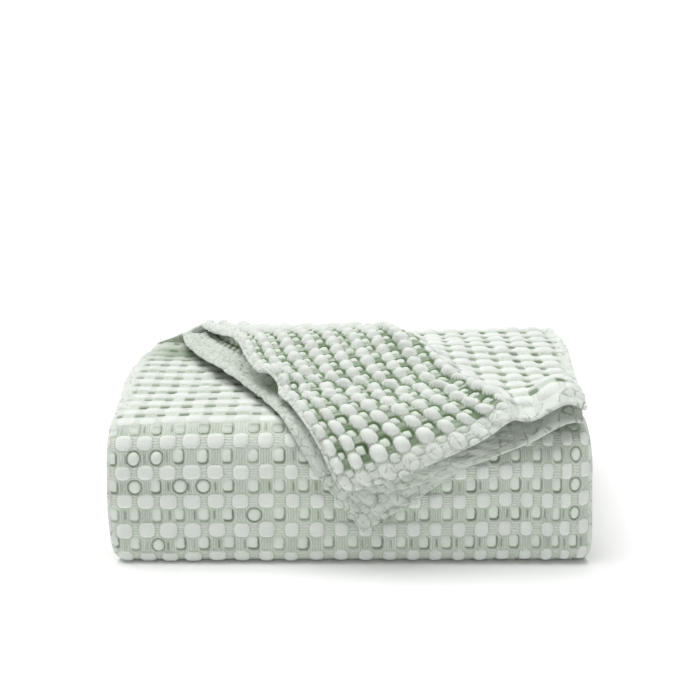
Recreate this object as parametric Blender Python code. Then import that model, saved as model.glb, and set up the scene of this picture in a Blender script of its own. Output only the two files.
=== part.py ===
"""Folded throw blanket, modelled as the one cloth that it is.

The throw is folded in two, and the pair of plies is laid back and forth as a soft box. The pair starts in the
middle of the stack, winds outwards, wraps the bottom, the front and the top, turns at the back, and ends as a
corner that is pulled forward over the top, with its point hanging over the front.

Metres, +Z up, +X to the right and -Y towards the viewer. The origin is below the middle of the throw, on the
surface that it rests on.
"""
import math
from collections import namedtuple

import bmesh
import bpy
import numpy as np

# Driving sizes of the folded stack
STACK_DEPTH = 0.370
STACK_HEIGHT = 0.128
PAIRS_IN_STACK = 6
PLY_PITCH = 0.0110
PLY_THICKNESS = 0.0070
HEM_THICKNESS = 0.0030
HEM_SHARES = (0.0, 0.2, 1.0)
TOP_FRONT_RADIUS = 0.030
BOTTOM_FRONT_RADIUS = 0.016
CORNER_LOWERING = 0.0015
CORNER_LOWERING_START = 0.020
CORNER_LOWERING_FULL = 0.080
INNER_FRONT_SETBACK = 0.0220
INNER_BACK_SETBACK = 0.0030

# Sizes that follow from them
PAIR_PITCH = 2.0 * PLY_PITCH
HALF_PAIR = (PLY_PITCH + PLY_THICKNESS) / 2.0
FRONT_Y = -STACK_DEPTH / 2.0
BACK_Y = STACK_DEPTH / 2.0
TURN_RADIUS = PAIR_PITCH / 2.0
BACK_TURN_Y = BACK_Y - TURN_RADIUS - HALF_PAIR
FRONT_PAIR_Y = FRONT_Y + HALF_PAIR
ROLL_RADIUS = TOP_FRONT_RADIUS + HALF_PAIR

# Steps along the turns and the runs between them
TURN_STEPS = 6
ROLL_STEPS = 4
RUN_STEPS = 3
MID_FOLD_STEPS = 4
FLAP_STEPS_A_ROW = 2

# Soft unevenness of the whole stack
SWAY = 0.0020
SWAY_LENGTH = 0.310
SWAY_PHASE = 0.8
FRONT_BELLY = 0.0025
FRONT_BELLY_LENGTH = 0.700
FRONT_BELLY_PHASE = 0.6
MOUND_RISE = 0.006
MOUND_X = -0.020
MOUND_Y = 0.000
MOUND_HALF_WIDTH = 0.110
MOUND_HALF_DEPTH = 0.100
BACK_DROOP = 0.010
BACK_DROOP_START_Y = 0.030
BACK_DROOP_LEFT_X = -0.230
BACK_DROOP_FULL_X = -0.080

# The pulled corner: bulk beneath it, its raised ridge and the arch of its front hem
RIDGE_RISE = 0.0090
RIDGE_HALF_WIDTH = 0.0150
RIDGE_START = 0.130
RIDGE_FULL = 0.230
BULK_FADE = 0.0500
LOWER_HEM_BULK = 0.35
ARCH_X = 0.191
ARCH_HALF_WIDTH = 0.020
ARCH_START = 0.270
ARCH_FULL = 0.335
UPPER_ARCH_RISE = 0.0170
LOWER_ARCH_RISE = 0.0120

# How far the bulk lifts the corner, by the distance from the back edge along the top
Bulk = namedtuple("Bulk", "along rise")
BULK = (
    Bulk(0.00, 0.000),
    Bulk(0.06, 0.006),
    Bulk(0.13, 0.016),
    Bulk(0.19, 0.022),
    Bulk(0.25, 0.014),
    Bulk(0.33, 0.001),
    Bulk(0.37, 0.000),
    Bulk(0.60, 0.000),
)

# How far the cloth in the stack reaches to the left and right, by the distance along a ply from the root of
# the corner
Side = namedtuple("Side", "along left right")
SIDES = (
    Side(0.000, 0.2160, 0.2200),
    Side(0.100, 0.2280, 0.2220),
    Side(0.180, 0.2290, 0.2200),
    Side(0.260, 0.2240, 0.2180),
    Side(0.328, 0.2205, 0.2180),
    Side(0.384, 0.2210, 0.2195),
    Side(0.430, 0.2210, 0.2205),
    Side(0.482, 0.2160, 0.2190),
    Side(0.800, 0.2150, 0.2170),
    Side(1.000, 0.2180, 0.2190),
    Side(1.200, 0.2150, 0.2160),
    Side(1.400, 0.2185, 0.2190),
    Side(1.700, 0.2150, 0.2170),
    Side(2.000, 0.2180, 0.2190),
    Side(2.400, 0.2150, 0.2160),
)

# Columns of the cloth: across the stack from -1 to 1, and across the corner, where 0 is its left hem, 1 its
# ridge and 2 its right hem
Column = namedtuple("Column", "stack corner thickness")
COLUMNS = (
    Column(-1.00, 0.00, HEM_THICKNESS),
    Column(-0.90, 0.14, HEM_THICKNESS + 0.001),
    Column(-0.82, 0.26, PLY_THICKNESS),
    Column(-0.58, 0.50, PLY_THICKNESS),
    Column(-0.32, 0.76, PLY_THICKNESS),
    Column(-0.06, 1.00, PLY_THICKNESS),
    Column(0.18, 1.20, PLY_THICKNESS),
    Column(0.42, 1.42, PLY_THICKNESS),
    Column(0.64, 1.62, PLY_THICKNESS),
    Column(0.82, 1.80, PLY_THICKNESS),
    Column(0.90, 1.90, HEM_THICKNESS + 0.001),
    Column(1.00, 2.00, HEM_THICKNESS),
)

# Rows of the corner from the back edge to the front hem: places across (x) and distances along the top and
# down the front (s) of the left hem, the ridge and the right hem
Row = namedtuple("Row", "hem_x hem_s ridge_x ridge_s side_x side_s")
UPPER_ROWS = (
    Row(-0.168, 0.020, -0.004, 0.020, 0.228, 0.020),
    Row(-0.146, 0.100, 0.022, 0.110, 0.230, 0.100),
    Row(-0.120, 0.172, 0.048, 0.185, 0.2265, 0.170),
    Row(-0.099, 0.248, 0.082, 0.259, 0.222, 0.225),
    Row(-0.075, 0.310, 0.112, 0.316, 0.218, 0.275),
    Row(-0.050, 0.346, 0.130, 0.342, 0.2155, 0.310),
    Row(-0.027, 0.374, 0.138, 0.354, 0.214, 0.332),
    Row(-0.006, 0.406, 0.143, 0.362, 0.213, 0.350),
)
LOWER_ROWS = (
    Row(-0.190, 0.020, -0.004, 0.020, 0.226, 0.020),
    Row(-0.174, 0.095, 0.022, 0.110, 0.2275, 0.100),
    Row(-0.150, 0.160, 0.048, 0.185, 0.224, 0.170),
    Row(-0.109, 0.244, 0.078, 0.262, 0.220, 0.235),
    Row(-0.080, 0.305, 0.098, 0.320, 0.216, 0.285),
    Row(-0.056, 0.355, 0.106, 0.352, 0.2135, 0.320),
    Row(-0.023, 0.402, 0.104, 0.376, 0.212, 0.338),
    Row(0.012, 0.447, 0.100, 0.388, 0.211, 0.354),
)

CLOTH_NAME = "throw_cloth"
CLOTH_COLOUR = (0.56, 0.63, 0.55, 1.0)
CLOTH_ROUGHNESS = 0.92


def smoothstep(value, low, high):
    """Ease from 0 at low to 1 at high."""
    t = np.clip((value - low) / (high - low), 0.0, 1.0)
    return t * t * (3.0 - 2.0 * t)


def hermite(knots, values, at):
    """A smooth curve through values at rising knots, read at the places in at."""
    knots = np.asarray(knots, dtype=float)
    values = np.asarray(values, dtype=float)
    slopes = np.gradient(values, knots)
    at = np.clip(at, knots[0], knots[-1])
    index = np.clip(np.searchsorted(knots, at, side="right") - 1, 0, len(knots) - 2)
    span = knots[index + 1] - knots[index]
    t = (at - knots[index]) / span
    start = (1.0 + 2.0 * t) * (1.0 - t) ** 2 * values[index] + t * (1.0 - t) ** 2 * span * slopes[index]
    end = t * t * (3.0 - 2.0 * t) * values[index + 1] + t * t * (t - 1.0) * span * slopes[index + 1]
    return start + end


def pair_level(number):
    """Height of the middle of a pair of plies in the stack, counted from the floor."""
    return HALF_PAIR + number * PAIR_PITCH


def arc(centre_y, centre_z, radius, start_degrees, sweep_degrees, steps):
    """Points along an arc, without its first point."""
    points = []
    for step in range(1, steps + 1):
        angle = math.radians(start_degrees + sweep_degrees * step / steps)
        points.append((centre_y + radius * math.cos(angle), centre_z + radius * math.sin(angle)))
    return points


def run(start, end, steps):
    """Points along a straight run, without its first point."""
    points = []
    for step in range(1, steps + 1):
        share = step / steps
        points.append((start[0] + (end[0] - start[0]) * share, start[1] + (end[1] - start[1]) * share))
    return points


def pair_path():
    """The middle line of the pair of plies, from the corner's root to the fold in the middle of the stack."""
    top = pair_level(PAIRS_IN_STACK - 1)
    bottom = pair_level(0)
    front_inner_y = FRONT_Y + INNER_FRONT_SETBACK + TURN_RADIUS + HALF_PAIR
    back_inner_y = BACK_TURN_Y - INNER_BACK_SETBACK
    roll_y = FRONT_PAIR_Y + TOP_FRONT_RADIUS
    foot_y = FRONT_PAIR_Y + BOTTOM_FRONT_RADIUS
    path = [(BACK_TURN_Y, top + PAIR_PITCH)]
    path += arc(BACK_TURN_Y, top + TURN_RADIUS, TURN_RADIUS, 90.0, -180.0, TURN_STEPS)
    path += run(path[-1], (roll_y, top), RUN_STEPS)
    path += arc(roll_y, top - TOP_FRONT_RADIUS, TOP_FRONT_RADIUS, 90.0, 90.0, ROLL_STEPS)
    path += run(path[-1], (FRONT_PAIR_Y, bottom + BOTTOM_FRONT_RADIUS), RUN_STEPS)
    path += arc(foot_y, bottom + BOTTOM_FRONT_RADIUS, BOTTOM_FRONT_RADIUS, 180.0, 90.0, ROLL_STEPS)
    path += run(path[-1], (BACK_TURN_Y, bottom), RUN_STEPS)
    for level in range(PAIRS_IN_STACK - 2):
        middle = pair_level(level) + TURN_RADIUS
        at_back = level % 2 == 0
        turn_y = (BACK_TURN_Y if level == 0 else back_inner_y) if at_back else front_inner_y
        sweep = 180.0 if at_back else -180.0
        if level > 0:
            path += run(path[-1], (turn_y, pair_level(level)), RUN_STEPS - 1)
        path += arc(turn_y, middle, TURN_RADIUS, -90.0, sweep, TURN_STEPS)
    path += run(path[-1], (back_inner_y, path[-1][1]), RUN_STEPS - 1)
    return np.array(path)


def path_normals(path):
    """Unit normals of a path in the YZ plane, turned a quarter to the left of its direction."""
    tangents = np.gradient(path, axis=0)
    tangents /= np.linalg.norm(tangents, axis=1)[:, None]
    return np.stack([-tangents[:, 1], tangents[:, 0]], axis=1)


def distances_along(path):
    """Distance along a path, from its start."""
    steps = np.linalg.norm(np.diff(path, axis=0), axis=1)
    return np.concatenate([[0.0], np.cumsum(steps)])


def stack_plies():
    """Middle lines in YZ of the pair's two plies from the corner's root inwards, the upper one first."""
    path = pair_path()
    normals = path_normals(path)
    normals[0] = (0.0, 1.0)
    offset = PLY_PITCH / 2.0
    return path + normals * offset, path - normals * offset


def mid_fold(first_end, second_end):
    """The fold in the middle of the throw, which joins the two plies of the pair."""
    centre = (first_end + second_end) / 2.0
    radius = PLY_PITCH / 2.0
    start = math.degrees(math.atan2(first_end[1] - centre[1], first_end[0] - centre[0]))
    sweep = 180.0 if start < 0.0 else -180.0
    return np.array(arc(centre[0], centre[1], radius, start, sweep, MID_FOLD_STEPS)[:-1])


def stack_grid(plies_yz, rows, share):
    """Points of the cloth in the stack, its columns drawn in to the corner's root where share is 1."""
    columns = np.array([column.stack for column in COLUMNS])
    along = distances_along(plies_yz)
    knots = [side.along for side in SIDES]
    left = hermite(knots, [side.left for side in SIDES], along)[:, None]
    right = hermite(knots, [side.right for side in SIDES], along)[:, None]
    x = -left + (left + right) * (columns[None, :] + 1.0) / 2.0
    root = corner_place(rows, np.zeros(1))[0][0]
    x = x + (root[None, :] - x) * share[:, None]
    grid = np.zeros((len(plies_yz), len(COLUMNS), 3))
    grid[:, :, 0] = x
    grid[:, :, 1] = plies_yz[:, 0][:, None]
    grid[:, :, 2] = plies_yz[:, 1][:, None]
    return grid


def corner_place(rows, at):
    """Places across and along for each row position in at and each column of the corner."""
    knots = np.arange(len(rows), dtype=float)
    named = {field: hermite(knots, [getattr(row, field) for row in rows], at) for field in Row._fields}
    places = np.array([column.corner for column in COLUMNS])
    left = np.clip(places, 0.0, 1.0)[None, :]
    right = np.clip(places - 1.0, 0.0, 1.0)[None, :]
    across = []
    for letter in "xs":
        hem = named["hem_" + letter][:, None]
        ridge = named["ridge_" + letter][:, None]
        side = named["side_" + letter][:, None]
        across.append(hem + (ridge - hem) * left + (side - ridge) * right)
    return across


def over_stack(s):
    """Point and outward normal in YZ on the stack's outside, by the distance from its back edge."""
    flat = BACK_Y - (FRONT_Y + ROLL_RADIUS)
    angle = np.clip((s - flat) / ROLL_RADIUS, 0.0, math.pi / 2.0)
    down = np.maximum(s - flat - ROLL_RADIUS * math.pi / 2.0, 0.0)
    normal_y = -np.sin(angle)
    normal_z = np.cos(angle)
    y = BACK_Y - np.minimum(s, flat) + ROLL_RADIUS * normal_y
    z = STACK_HEIGHT - ROLL_RADIUS + ROLL_RADIUS * normal_z - down
    return y, z, normal_y, normal_z


def ridge_line(s):
    """Where the ridge lies across, by the distance from the back edge."""
    return np.interp(s, [row.ridge_s for row in UPPER_ROWS], [row.ridge_x for row in UPPER_ROWS])


def bulk_rise(x, s):
    """How far the bunched cloth lifts the corner above the stack."""
    rise = hermite([knot.along for knot in BULK], [knot.rise for knot in BULK], s)
    beyond = x - ridge_line(s)
    return np.maximum(rise, 0.0) * (1.0 - smoothstep(beyond, 0.0, BULK_FADE))


def ridge_rise(x, s):
    """The raised fold that runs down the upper ply."""
    beyond = (x - ridge_line(s)) / RIDGE_HALF_WIDTH
    return RIDGE_RISE * np.exp(-beyond * beyond) * smoothstep(s, RIDGE_START, RIDGE_FULL)


def arch_rise(x, s, rise):
    """The arch in the front hem near its right end."""
    beyond = (x - ARCH_X) / ARCH_HALF_WIDTH
    return rise * np.exp(-beyond * beyond) * smoothstep(s, ARCH_START, ARCH_FULL)


def corner_grid(rows, upper):
    """Points of one ply of the corner, from its front hem to its root."""
    steps = (len(rows) - 1) * FLAP_STEPS_A_ROW
    at = np.linspace(len(rows) - 1.0, 0.0, steps + 1)[:-1]
    x, s = corner_place(rows, at)
    y, z, normal_y, normal_z = over_stack(s)
    lowering = CORNER_LOWERING * smoothstep(s, CORNER_LOWERING_START, CORNER_LOWERING_FULL)
    clear = pair_level(PAIRS_IN_STACK) - STACK_HEIGHT - lowering
    if upper:
        lift = clear + PLY_PITCH / 2.0 + bulk_rise(x, s) + ridge_rise(x, s)
        lift = lift + arch_rise(x, s, UPPER_ARCH_RISE)
    else:
        inward = smoothstep(x - x[:, :1], 0.0, BULK_FADE)
        share = LOWER_HEM_BULK + (1.0 - LOWER_HEM_BULK) * inward
        lift = clear - PLY_PITCH / 2.0 + bulk_rise(x, s) * share
        lift = lift + arch_rise(x, s, LOWER_ARCH_RISE)
    return np.stack([x, y + normal_y * lift, z + normal_z * lift], axis=2)


def uneven(grid):
    """The soft sway of a hand-folded stack and the droop of its back, which leave its underside flat."""
    x = grid[..., 0]
    y = grid[..., 1]
    z = grid[..., 2]
    height = np.clip(z / STACK_HEIGHT, 0.0, 1.0)
    wave = 2.0 * math.pi / SWAY_LENGTH
    sway = SWAY * np.sin(wave * x + SWAY_PHASE) * np.cos(wave * y)
    mound = np.exp(-((x - MOUND_X) / MOUND_HALF_WIDTH) ** 2 - ((y - MOUND_Y) / MOUND_HALF_DEPTH) ** 2)
    belly_wave = 2.0 * math.pi / FRONT_BELLY_LENGTH
    belly = FRONT_BELLY * np.sin(math.pi * height) * np.sin(belly_wave * x + FRONT_BELLY_PHASE)
    shaped = grid.copy()
    shaped[..., 1] = y - belly * smoothstep(-y, 0.0, STACK_DEPTH / 2.0)
    droop = BACK_DROOP * smoothstep(y, BACK_DROOP_START_Y, BACK_Y)
    droop = droop * smoothstep(x, BACK_DROOP_LEFT_X, BACK_DROOP_FULL_X)
    shaped[..., 2] = z + height ** 2 * (sway + MOUND_RISE * mound - droop)
    return shaped


def cloth_grid():
    """Middle surface of the whole cloth: upper corner, stack, middle fold, stack again, lower corner."""
    upper, lower = stack_plies()
    share = 1.0 - smoothstep(np.arange(len(upper), dtype=float), 0.0, float(TURN_STEPS))
    upper_stack = stack_grid(upper, UPPER_ROWS, share)
    lower_stack = stack_grid(lower, LOWER_ROWS, share)
    fold_yz = mid_fold(upper[-1], lower[-1])
    fold = np.zeros((len(fold_yz), len(COLUMNS), 3))
    fold[:, :, 0] = upper_stack[-1, :, 0][None, :]
    fold[:, :, 1] = fold_yz[:, 0][:, None]
    fold[:, :, 2] = fold_yz[:, 1][:, None]
    parts = [corner_grid(UPPER_ROWS, True), upper_stack, fold]
    parts += [lower_stack[::-1], corner_grid(LOWER_ROWS, False)[::-1]]
    return uneven(np.concatenate(parts, axis=0))


def cloth_thickness(stations):
    """Thickness of the cloth at each station and column, thin in the hems on all sides."""
    thick = np.tile(np.array([column.thickness for column in COLUMNS]), (stations, 1))
    hem = HEM_THICKNESS + (PLY_THICKNESS - HEM_THICKNESS) * np.array(HEM_SHARES)
    for station, limit in enumerate(hem):
        thick[station] = np.minimum(thick[station], limit)
        thick[-1 - station] = np.minimum(thick[-1 - station], limit)
    return thick


def surface_normals(grid):
    """Unit normals of the middle surface."""
    along = np.gradient(grid, axis=0)
    across = np.gradient(grid, axis=1)
    normals = np.cross(along, across)
    return normals / np.linalg.norm(normals, axis=2)[..., None]


def thicken(grid, thick):
    """Closed mesh data of the cloth, from its middle surface and its thickness."""
    stations, columns = grid.shape[:2]
    offset = surface_normals(grid) * thick[..., None] / 2.0
    vertices = np.concatenate([(grid + offset).reshape(-1, 3), (grid - offset).reshape(-1, 3)])
    under = stations * columns
    faces = []
    for i in range(stations - 1):
        for j in range(columns - 1):
            a = i * columns + j
            b = a + 1
            c = a + columns + 1
            d = a + columns
            faces.append((a, b, c, d))
            faces.append((under + d, under + c, under + b, under + a))
    for i in range(stations - 1):
        for j in (0, columns - 1):
            a = i * columns + j
            faces.append((a, a + columns, under + a + columns, under + a))
    for i in (0, stations - 1):
        for j in range(columns - 1):
            a = i * columns + j
            faces.append((a, under + a, under + a + 1, a + 1))
    return vertices, faces


def stand_on_floor(vertices):
    """Centre the points over the origin and set the lowest on the floor."""
    low = vertices.min(axis=0)
    high = vertices.max(axis=0)
    middle = (low + high) / 2.0
    return vertices - np.array([middle[0], middle[1], low[2]])


def cloth_material():
    """Pale sage cotton."""
    material = bpy.data.materials.new("sage_cotton")
    material.use_nodes = True
    shader = material.node_tree.nodes["Principled BSDF"]
    shader.inputs["Base Color"].default_value = CLOTH_COLOUR
    shader.inputs["Roughness"].default_value = CLOTH_ROUGHNESS
    shader.inputs["Metallic"].default_value = 0.0
    return material


def build_cloth():
    """The folded throw as one closed body."""
    grid = cloth_grid()
    vertices, faces = thicken(grid, cloth_thickness(len(grid)))
    mesh = bpy.data.meshes.new(CLOTH_NAME)
    mesh.from_pydata(stand_on_floor(vertices).tolist(), [], faces)
    shell = bmesh.new()
    shell.from_mesh(mesh)
    bmesh.ops.recalc_face_normals(shell, faces=shell.faces)
    shell.to_mesh(mesh)
    shell.free()
    mesh.shade_smooth()
    mesh.materials.append(cloth_material())
    cloth = bpy.data.objects.new(CLOTH_NAME, mesh)
    bpy.context.scene.collection.objects.link(cloth)
    return cloth


def main():
    for leftover in list(bpy.data.objects):
        bpy.data.objects.remove(leftover, do_unlink=True)
    build_cloth()


main()
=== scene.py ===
"""The looks of a folded throw blanket: a puckered pillow-weave cloth, folded as a soft box.

A corner of the cloth, two plies deep, is pulled forward over the top, with its point hanging over the front.
"""
import logging
import math
from dataclasses import dataclass, field
from enum import Enum
from typing import Dict, List, NamedTuple, Sequence, Tuple

import bpy
import numpy as np
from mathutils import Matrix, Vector


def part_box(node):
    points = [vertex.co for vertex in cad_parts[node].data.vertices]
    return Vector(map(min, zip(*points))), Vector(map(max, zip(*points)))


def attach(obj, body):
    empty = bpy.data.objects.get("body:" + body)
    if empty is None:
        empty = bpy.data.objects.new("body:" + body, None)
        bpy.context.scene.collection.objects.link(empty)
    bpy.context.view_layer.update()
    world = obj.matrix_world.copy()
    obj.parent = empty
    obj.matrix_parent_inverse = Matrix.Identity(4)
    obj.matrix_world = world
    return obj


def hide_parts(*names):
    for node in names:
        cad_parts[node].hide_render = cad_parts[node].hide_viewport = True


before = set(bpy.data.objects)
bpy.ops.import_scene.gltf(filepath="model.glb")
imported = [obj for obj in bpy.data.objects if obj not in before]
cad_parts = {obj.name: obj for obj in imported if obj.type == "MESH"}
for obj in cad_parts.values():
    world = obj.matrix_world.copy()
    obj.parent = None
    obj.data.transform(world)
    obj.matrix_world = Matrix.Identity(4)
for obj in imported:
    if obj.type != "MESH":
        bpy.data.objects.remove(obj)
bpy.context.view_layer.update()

LOG = logging.getLogger("throw")
CLOTH_NODE = "throw_cloth"
BODY = "root"
FLOOR_GAP = 0.0004
# The inner face of a sheet has one point for every few of its outer face
COARSE = 4
# Extra points next to a free edge, as shares of the first step
LIP_SHARES = (0.10, 0.28, 0.52, 0.78)
# Factors that scatter whole numbers evenly
HASH = (127.1, 311.7, 74.7, 43758.5453)
# The Mix node's colour sockets, by number because its other sockets have the same names
MIX_FIRST, MIX_SECOND, MIX_RESULT = 6, 7, 2

Array = np.ndarray
Socket = bpy.types.NodeSocket
Tree = bpy.types.NodeTree
Pair = Tuple[float, float]


class Hue(Enum):
    """The sRGB colours of the cloth and of the studio, with the cloth's painted highlight and painted shades.
    """

    PILLOW = "#e6eae5"
    # A painted highlight on the pillows' rims and on the rails beside the ribs
    RIM_HIGHLIGHT = "#f4f8f3"
    BUMP = "#e0e7dd"
    GROUND = "#d9e2d5"
    PALE = "#e2e7e0"
    # The cloth's green, deepened by painted shade in the pits and valleys
    TROUGH_GREEN_AND_SHADE = "#6f8a64"
    # Painted green shade in the deep hollows between the plies
    DEPTH = "#7b8f70"
    HEM = "#dde3db"
    # Painted shade in the creases, gaps, seams, hem press lines and rib grooves
    CREASE = "#4a5b40"
    FLOOR = "#ffffff"


class Lay(Enum):
    """How the weave sits: taut on the front, flat on the top, loose on the corner, drawn beside its ridge."""

    TAUT = "taut"
    FLAT = "flat"
    LOOSE = "loose"
    DRAWN = "drawn"


def linear(colour: str) -> Tuple[float, float, float, float]:
    """Turn an sRGB hex colour to linear.

    Args:
        colour: The colour as #rrggbb.

    Returns:
        Red, green, blue and a full alpha, for a shader's socket.
    """
    parts = [int(colour[i:i + 2], 16) / 255.0 for i in (1, 3, 5)]
    turned = [c / 12.92 if c <= 0.04045 else ((c + 0.055) / 1.055) ** 2.4 for c in parts]
    return (turned[0], turned[1], turned[2], 1.0)


def ease(value: Array, low: float, high: float) -> Array:
    """Ease from 0 at low to 1 at high."""
    t = np.clip((value - low) / (high - low), 0.0, 1.0)
    return t * t * (3.0 - 2.0 * t)


def fade(value: Array, low: float, high: float) -> Array:
    """Ease from 1 at low to 0 at high."""
    return 1.0 - ease(value, low, high)


def bell(value: Array, middle: float, width: float) -> Array:
    """A soft hump: 1 at its middle, and about a third at its width to either side."""
    return np.exp(-((value - middle) / width) ** 2)


def hermite(knots: Sequence[float], values: Sequence[float], at: Array) -> Array:
    """Read a smooth curve through values at rising knots.

    Args:
        knots: Rising places along the curve.
        values: The curve's value at each knot.
        at: Places to read.

    Returns:
        The curve at each place, held level past both ends.
    """
    knots = np.asarray(knots, dtype=float)
    values = np.asarray(values, dtype=float)
    slopes = np.gradient(values, knots)
    at = np.clip(at, knots[0], knots[-1])
    index = np.clip(np.searchsorted(knots, at, side="right") - 1, 0, len(knots) - 2)
    span = knots[index + 1] - knots[index]
    t = (at - knots[index]) / span
    start = (1.0 + 2.0 * t) * (1.0 - t) ** 2 * values[index] + t * (1.0 - t) ** 2 * span * slopes[index]
    end = t * t * (3.0 - 2.0 * t) * values[index + 1] + t * t * (t - 1.0) * span * slopes[index + 1]
    return start + end


def chance(i: Array, j: Array, seed: float) -> Array:
    """A fixed chance from 0 to 1 for each pair of whole numbers."""
    value = np.sin(i * HASH[0] + j * HASH[1] + seed * HASH[2]) * HASH[3]
    return value - np.floor(value)


def drift(x: Array, y: Array, seed: float) -> Array:
    """Smooth noise from -1 to 1 that changes over a length of about 1."""
    i = np.floor(x)
    j = np.floor(y)
    u = ease(x - i, 0.0, 1.0)
    v = ease(y - j, 0.0, 1.0)
    low = chance(i, j, seed) * (1.0 - u) + chance(i + 1, j, seed) * u
    high = chance(i, j + 1, seed) * (1.0 - u) + chance(i + 1, j + 1, seed) * u
    return (low * (1.0 - v) + high * v) * 2.0 - 1.0


def distances(points: Array) -> Array:
    """Distance along a row of points, from the first."""
    steps = np.linalg.norm(np.diff(points, axis=0), axis=1)
    return np.concatenate([[0.0], np.cumsum(steps)])


def spread(start: float, end: float, step: float) -> Array:
    """Evenly spread places from start to end, about a step apart, in a count that COARSE divides."""
    count = max(COARSE, int(round(abs(end - start) / step / COARSE)) * COARSE)
    return np.linspace(start, end, count + 1)


def with_lip(places: Array, at_start: bool = True, at_end: bool = True) -> Array:
    """Add close places next to a free edge, so that its lip can be round."""
    shares = np.array(LIP_SHARES)
    lips = []
    if at_start:
        lips.append(places[0] + (places[1] - places[0]) * shares)
    if at_end:
        lips.append(places[-1] + (places[-2] - places[-1]) * shares)
    joined = np.concatenate([places] + lips)
    return np.sort(joined) if places[-1] > places[0] else np.sort(joined)[::-1]


def chain_places(*runs: Array) -> Array:
    """Join runs of places end to end, each run starting where the last one stops."""
    return np.concatenate([runs[0]] + [run[1:] for run in runs[1:]])


class Masks(NamedTuple):
    """The weave at each point: its height in metres, and masks from 0 to 1."""

    height: Array
    pillow: Array
    bump: Array
    rib_along: Array
    rib_across: Array
    # The crease mask is painted shade in the creases.
    crease_shade: Array
    # The rim mask is a painted highlight.
    rim: Array
    # The green mask is the cloth's green, deepened by painted shade.
    green: Array
    pale: Array


class Cell(NamedTuple):
    """What one cell of the weave gives to each point: heights in metres, and masks from 0 to 1."""

    pillow_nearness: Array
    pillow_lift: Array
    pit: Array
    bump_lift: Array
    bump: Array
    # The ring and stroke are painted shade, and the rail a painted highlight.
    ring: Array
    stroke: Array
    rail_highlight: Array


@dataclass(frozen=True)
class Lie:
    """Sizes of the puckers for one way that the cloth lies: halves in cells, heights in metres."""

    pillow_half: Pair
    pillow_power: float
    pillow_height: float
    pillow_flatness: float
    pillow_dome: float
    waist_height: float
    ground_height: float
    pit_half: Pair
    pit_floor: float
    unevenness: float
    # How strongly the cloth's green, and the painted shade in pits and creases, show
    green_and_shade_strength: float
    whiteness: float = 1.0
    paleness: float = 0.0
    narrowing: float = 0.0
    bump_size: float = 0.01
    bump_height: float = 0.0
    bump_lean: Pair = (0.0, 0.0)
    bump_paleness: float = 1.0


LIES = {
    Lay.TAUT: Lie(
        pillow_half=(0.76, 0.51), pillow_power=3.1, pillow_height=0.0036, pillow_flatness=4.5,
        pillow_dome=0.5, waist_height=0.0016, ground_height=0.0012, pit_half=(0.46, 0.49), pit_floor=-0.0014,
        unevenness=0.22, green_and_shade_strength=0.22, whiteness=0.72, narrowing=0.22, bump_size=0.90, bump_height=0.0027,
        bump_lean=(0.08, 0.07)),
    Lay.FLAT: Lie(
        pillow_half=(0.80, 0.50), pillow_power=3.2, pillow_height=0.0034, pillow_flatness=3.6,
        pillow_dome=0.5, waist_height=0.0022, ground_height=0.0020, pit_half=(0.42, 0.34), pit_floor=-0.0014,
        unevenness=0.60, green_and_shade_strength=0.40, paleness=0.75),
    Lay.LOOSE: Lie(
        pillow_half=(0.98, 0.64), pillow_power=2.3, pillow_height=0.0066, pillow_flatness=2.4,
        pillow_dome=0.82, waist_height=0.0022, ground_height=0.0002, pit_half=(0.66, 0.50), pit_floor=-0.0016,
        unevenness=0.30, green_and_shade_strength=1.00, whiteness=0.86, bump_size=0.74, bump_height=0.0040,
        bump_lean=(0.20, 0.15), bump_paleness=0.15),
    Lay.DRAWN: Lie(
        pillow_half=(0.86, 0.56), pillow_power=2.9, pillow_height=0.0045, pillow_flatness=3.0,
        pillow_dome=0.55, waist_height=0.0018, ground_height=0.0010, pit_half=(0.36, 0.48), pit_floor=-0.0015,
        unevenness=0.40, green_and_shade_strength=0.50, paleness=0.65),
}

# Cells of the front whose bump has popped out round: column across and row down, from the row of pillows at
# PILLOW_ROW_HEIGHT
POPPED = ((-17, -3), (-15, -3), (-17, -1), (-13, -1), (-11, -1), (-7, 1), (-15, 3), (-11, -7), (-9, -7),
          (21, -5), (21, -3), (21, -1), (21, 1))
PILLOW_ROW_HEIGHT = 0.0600


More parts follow.
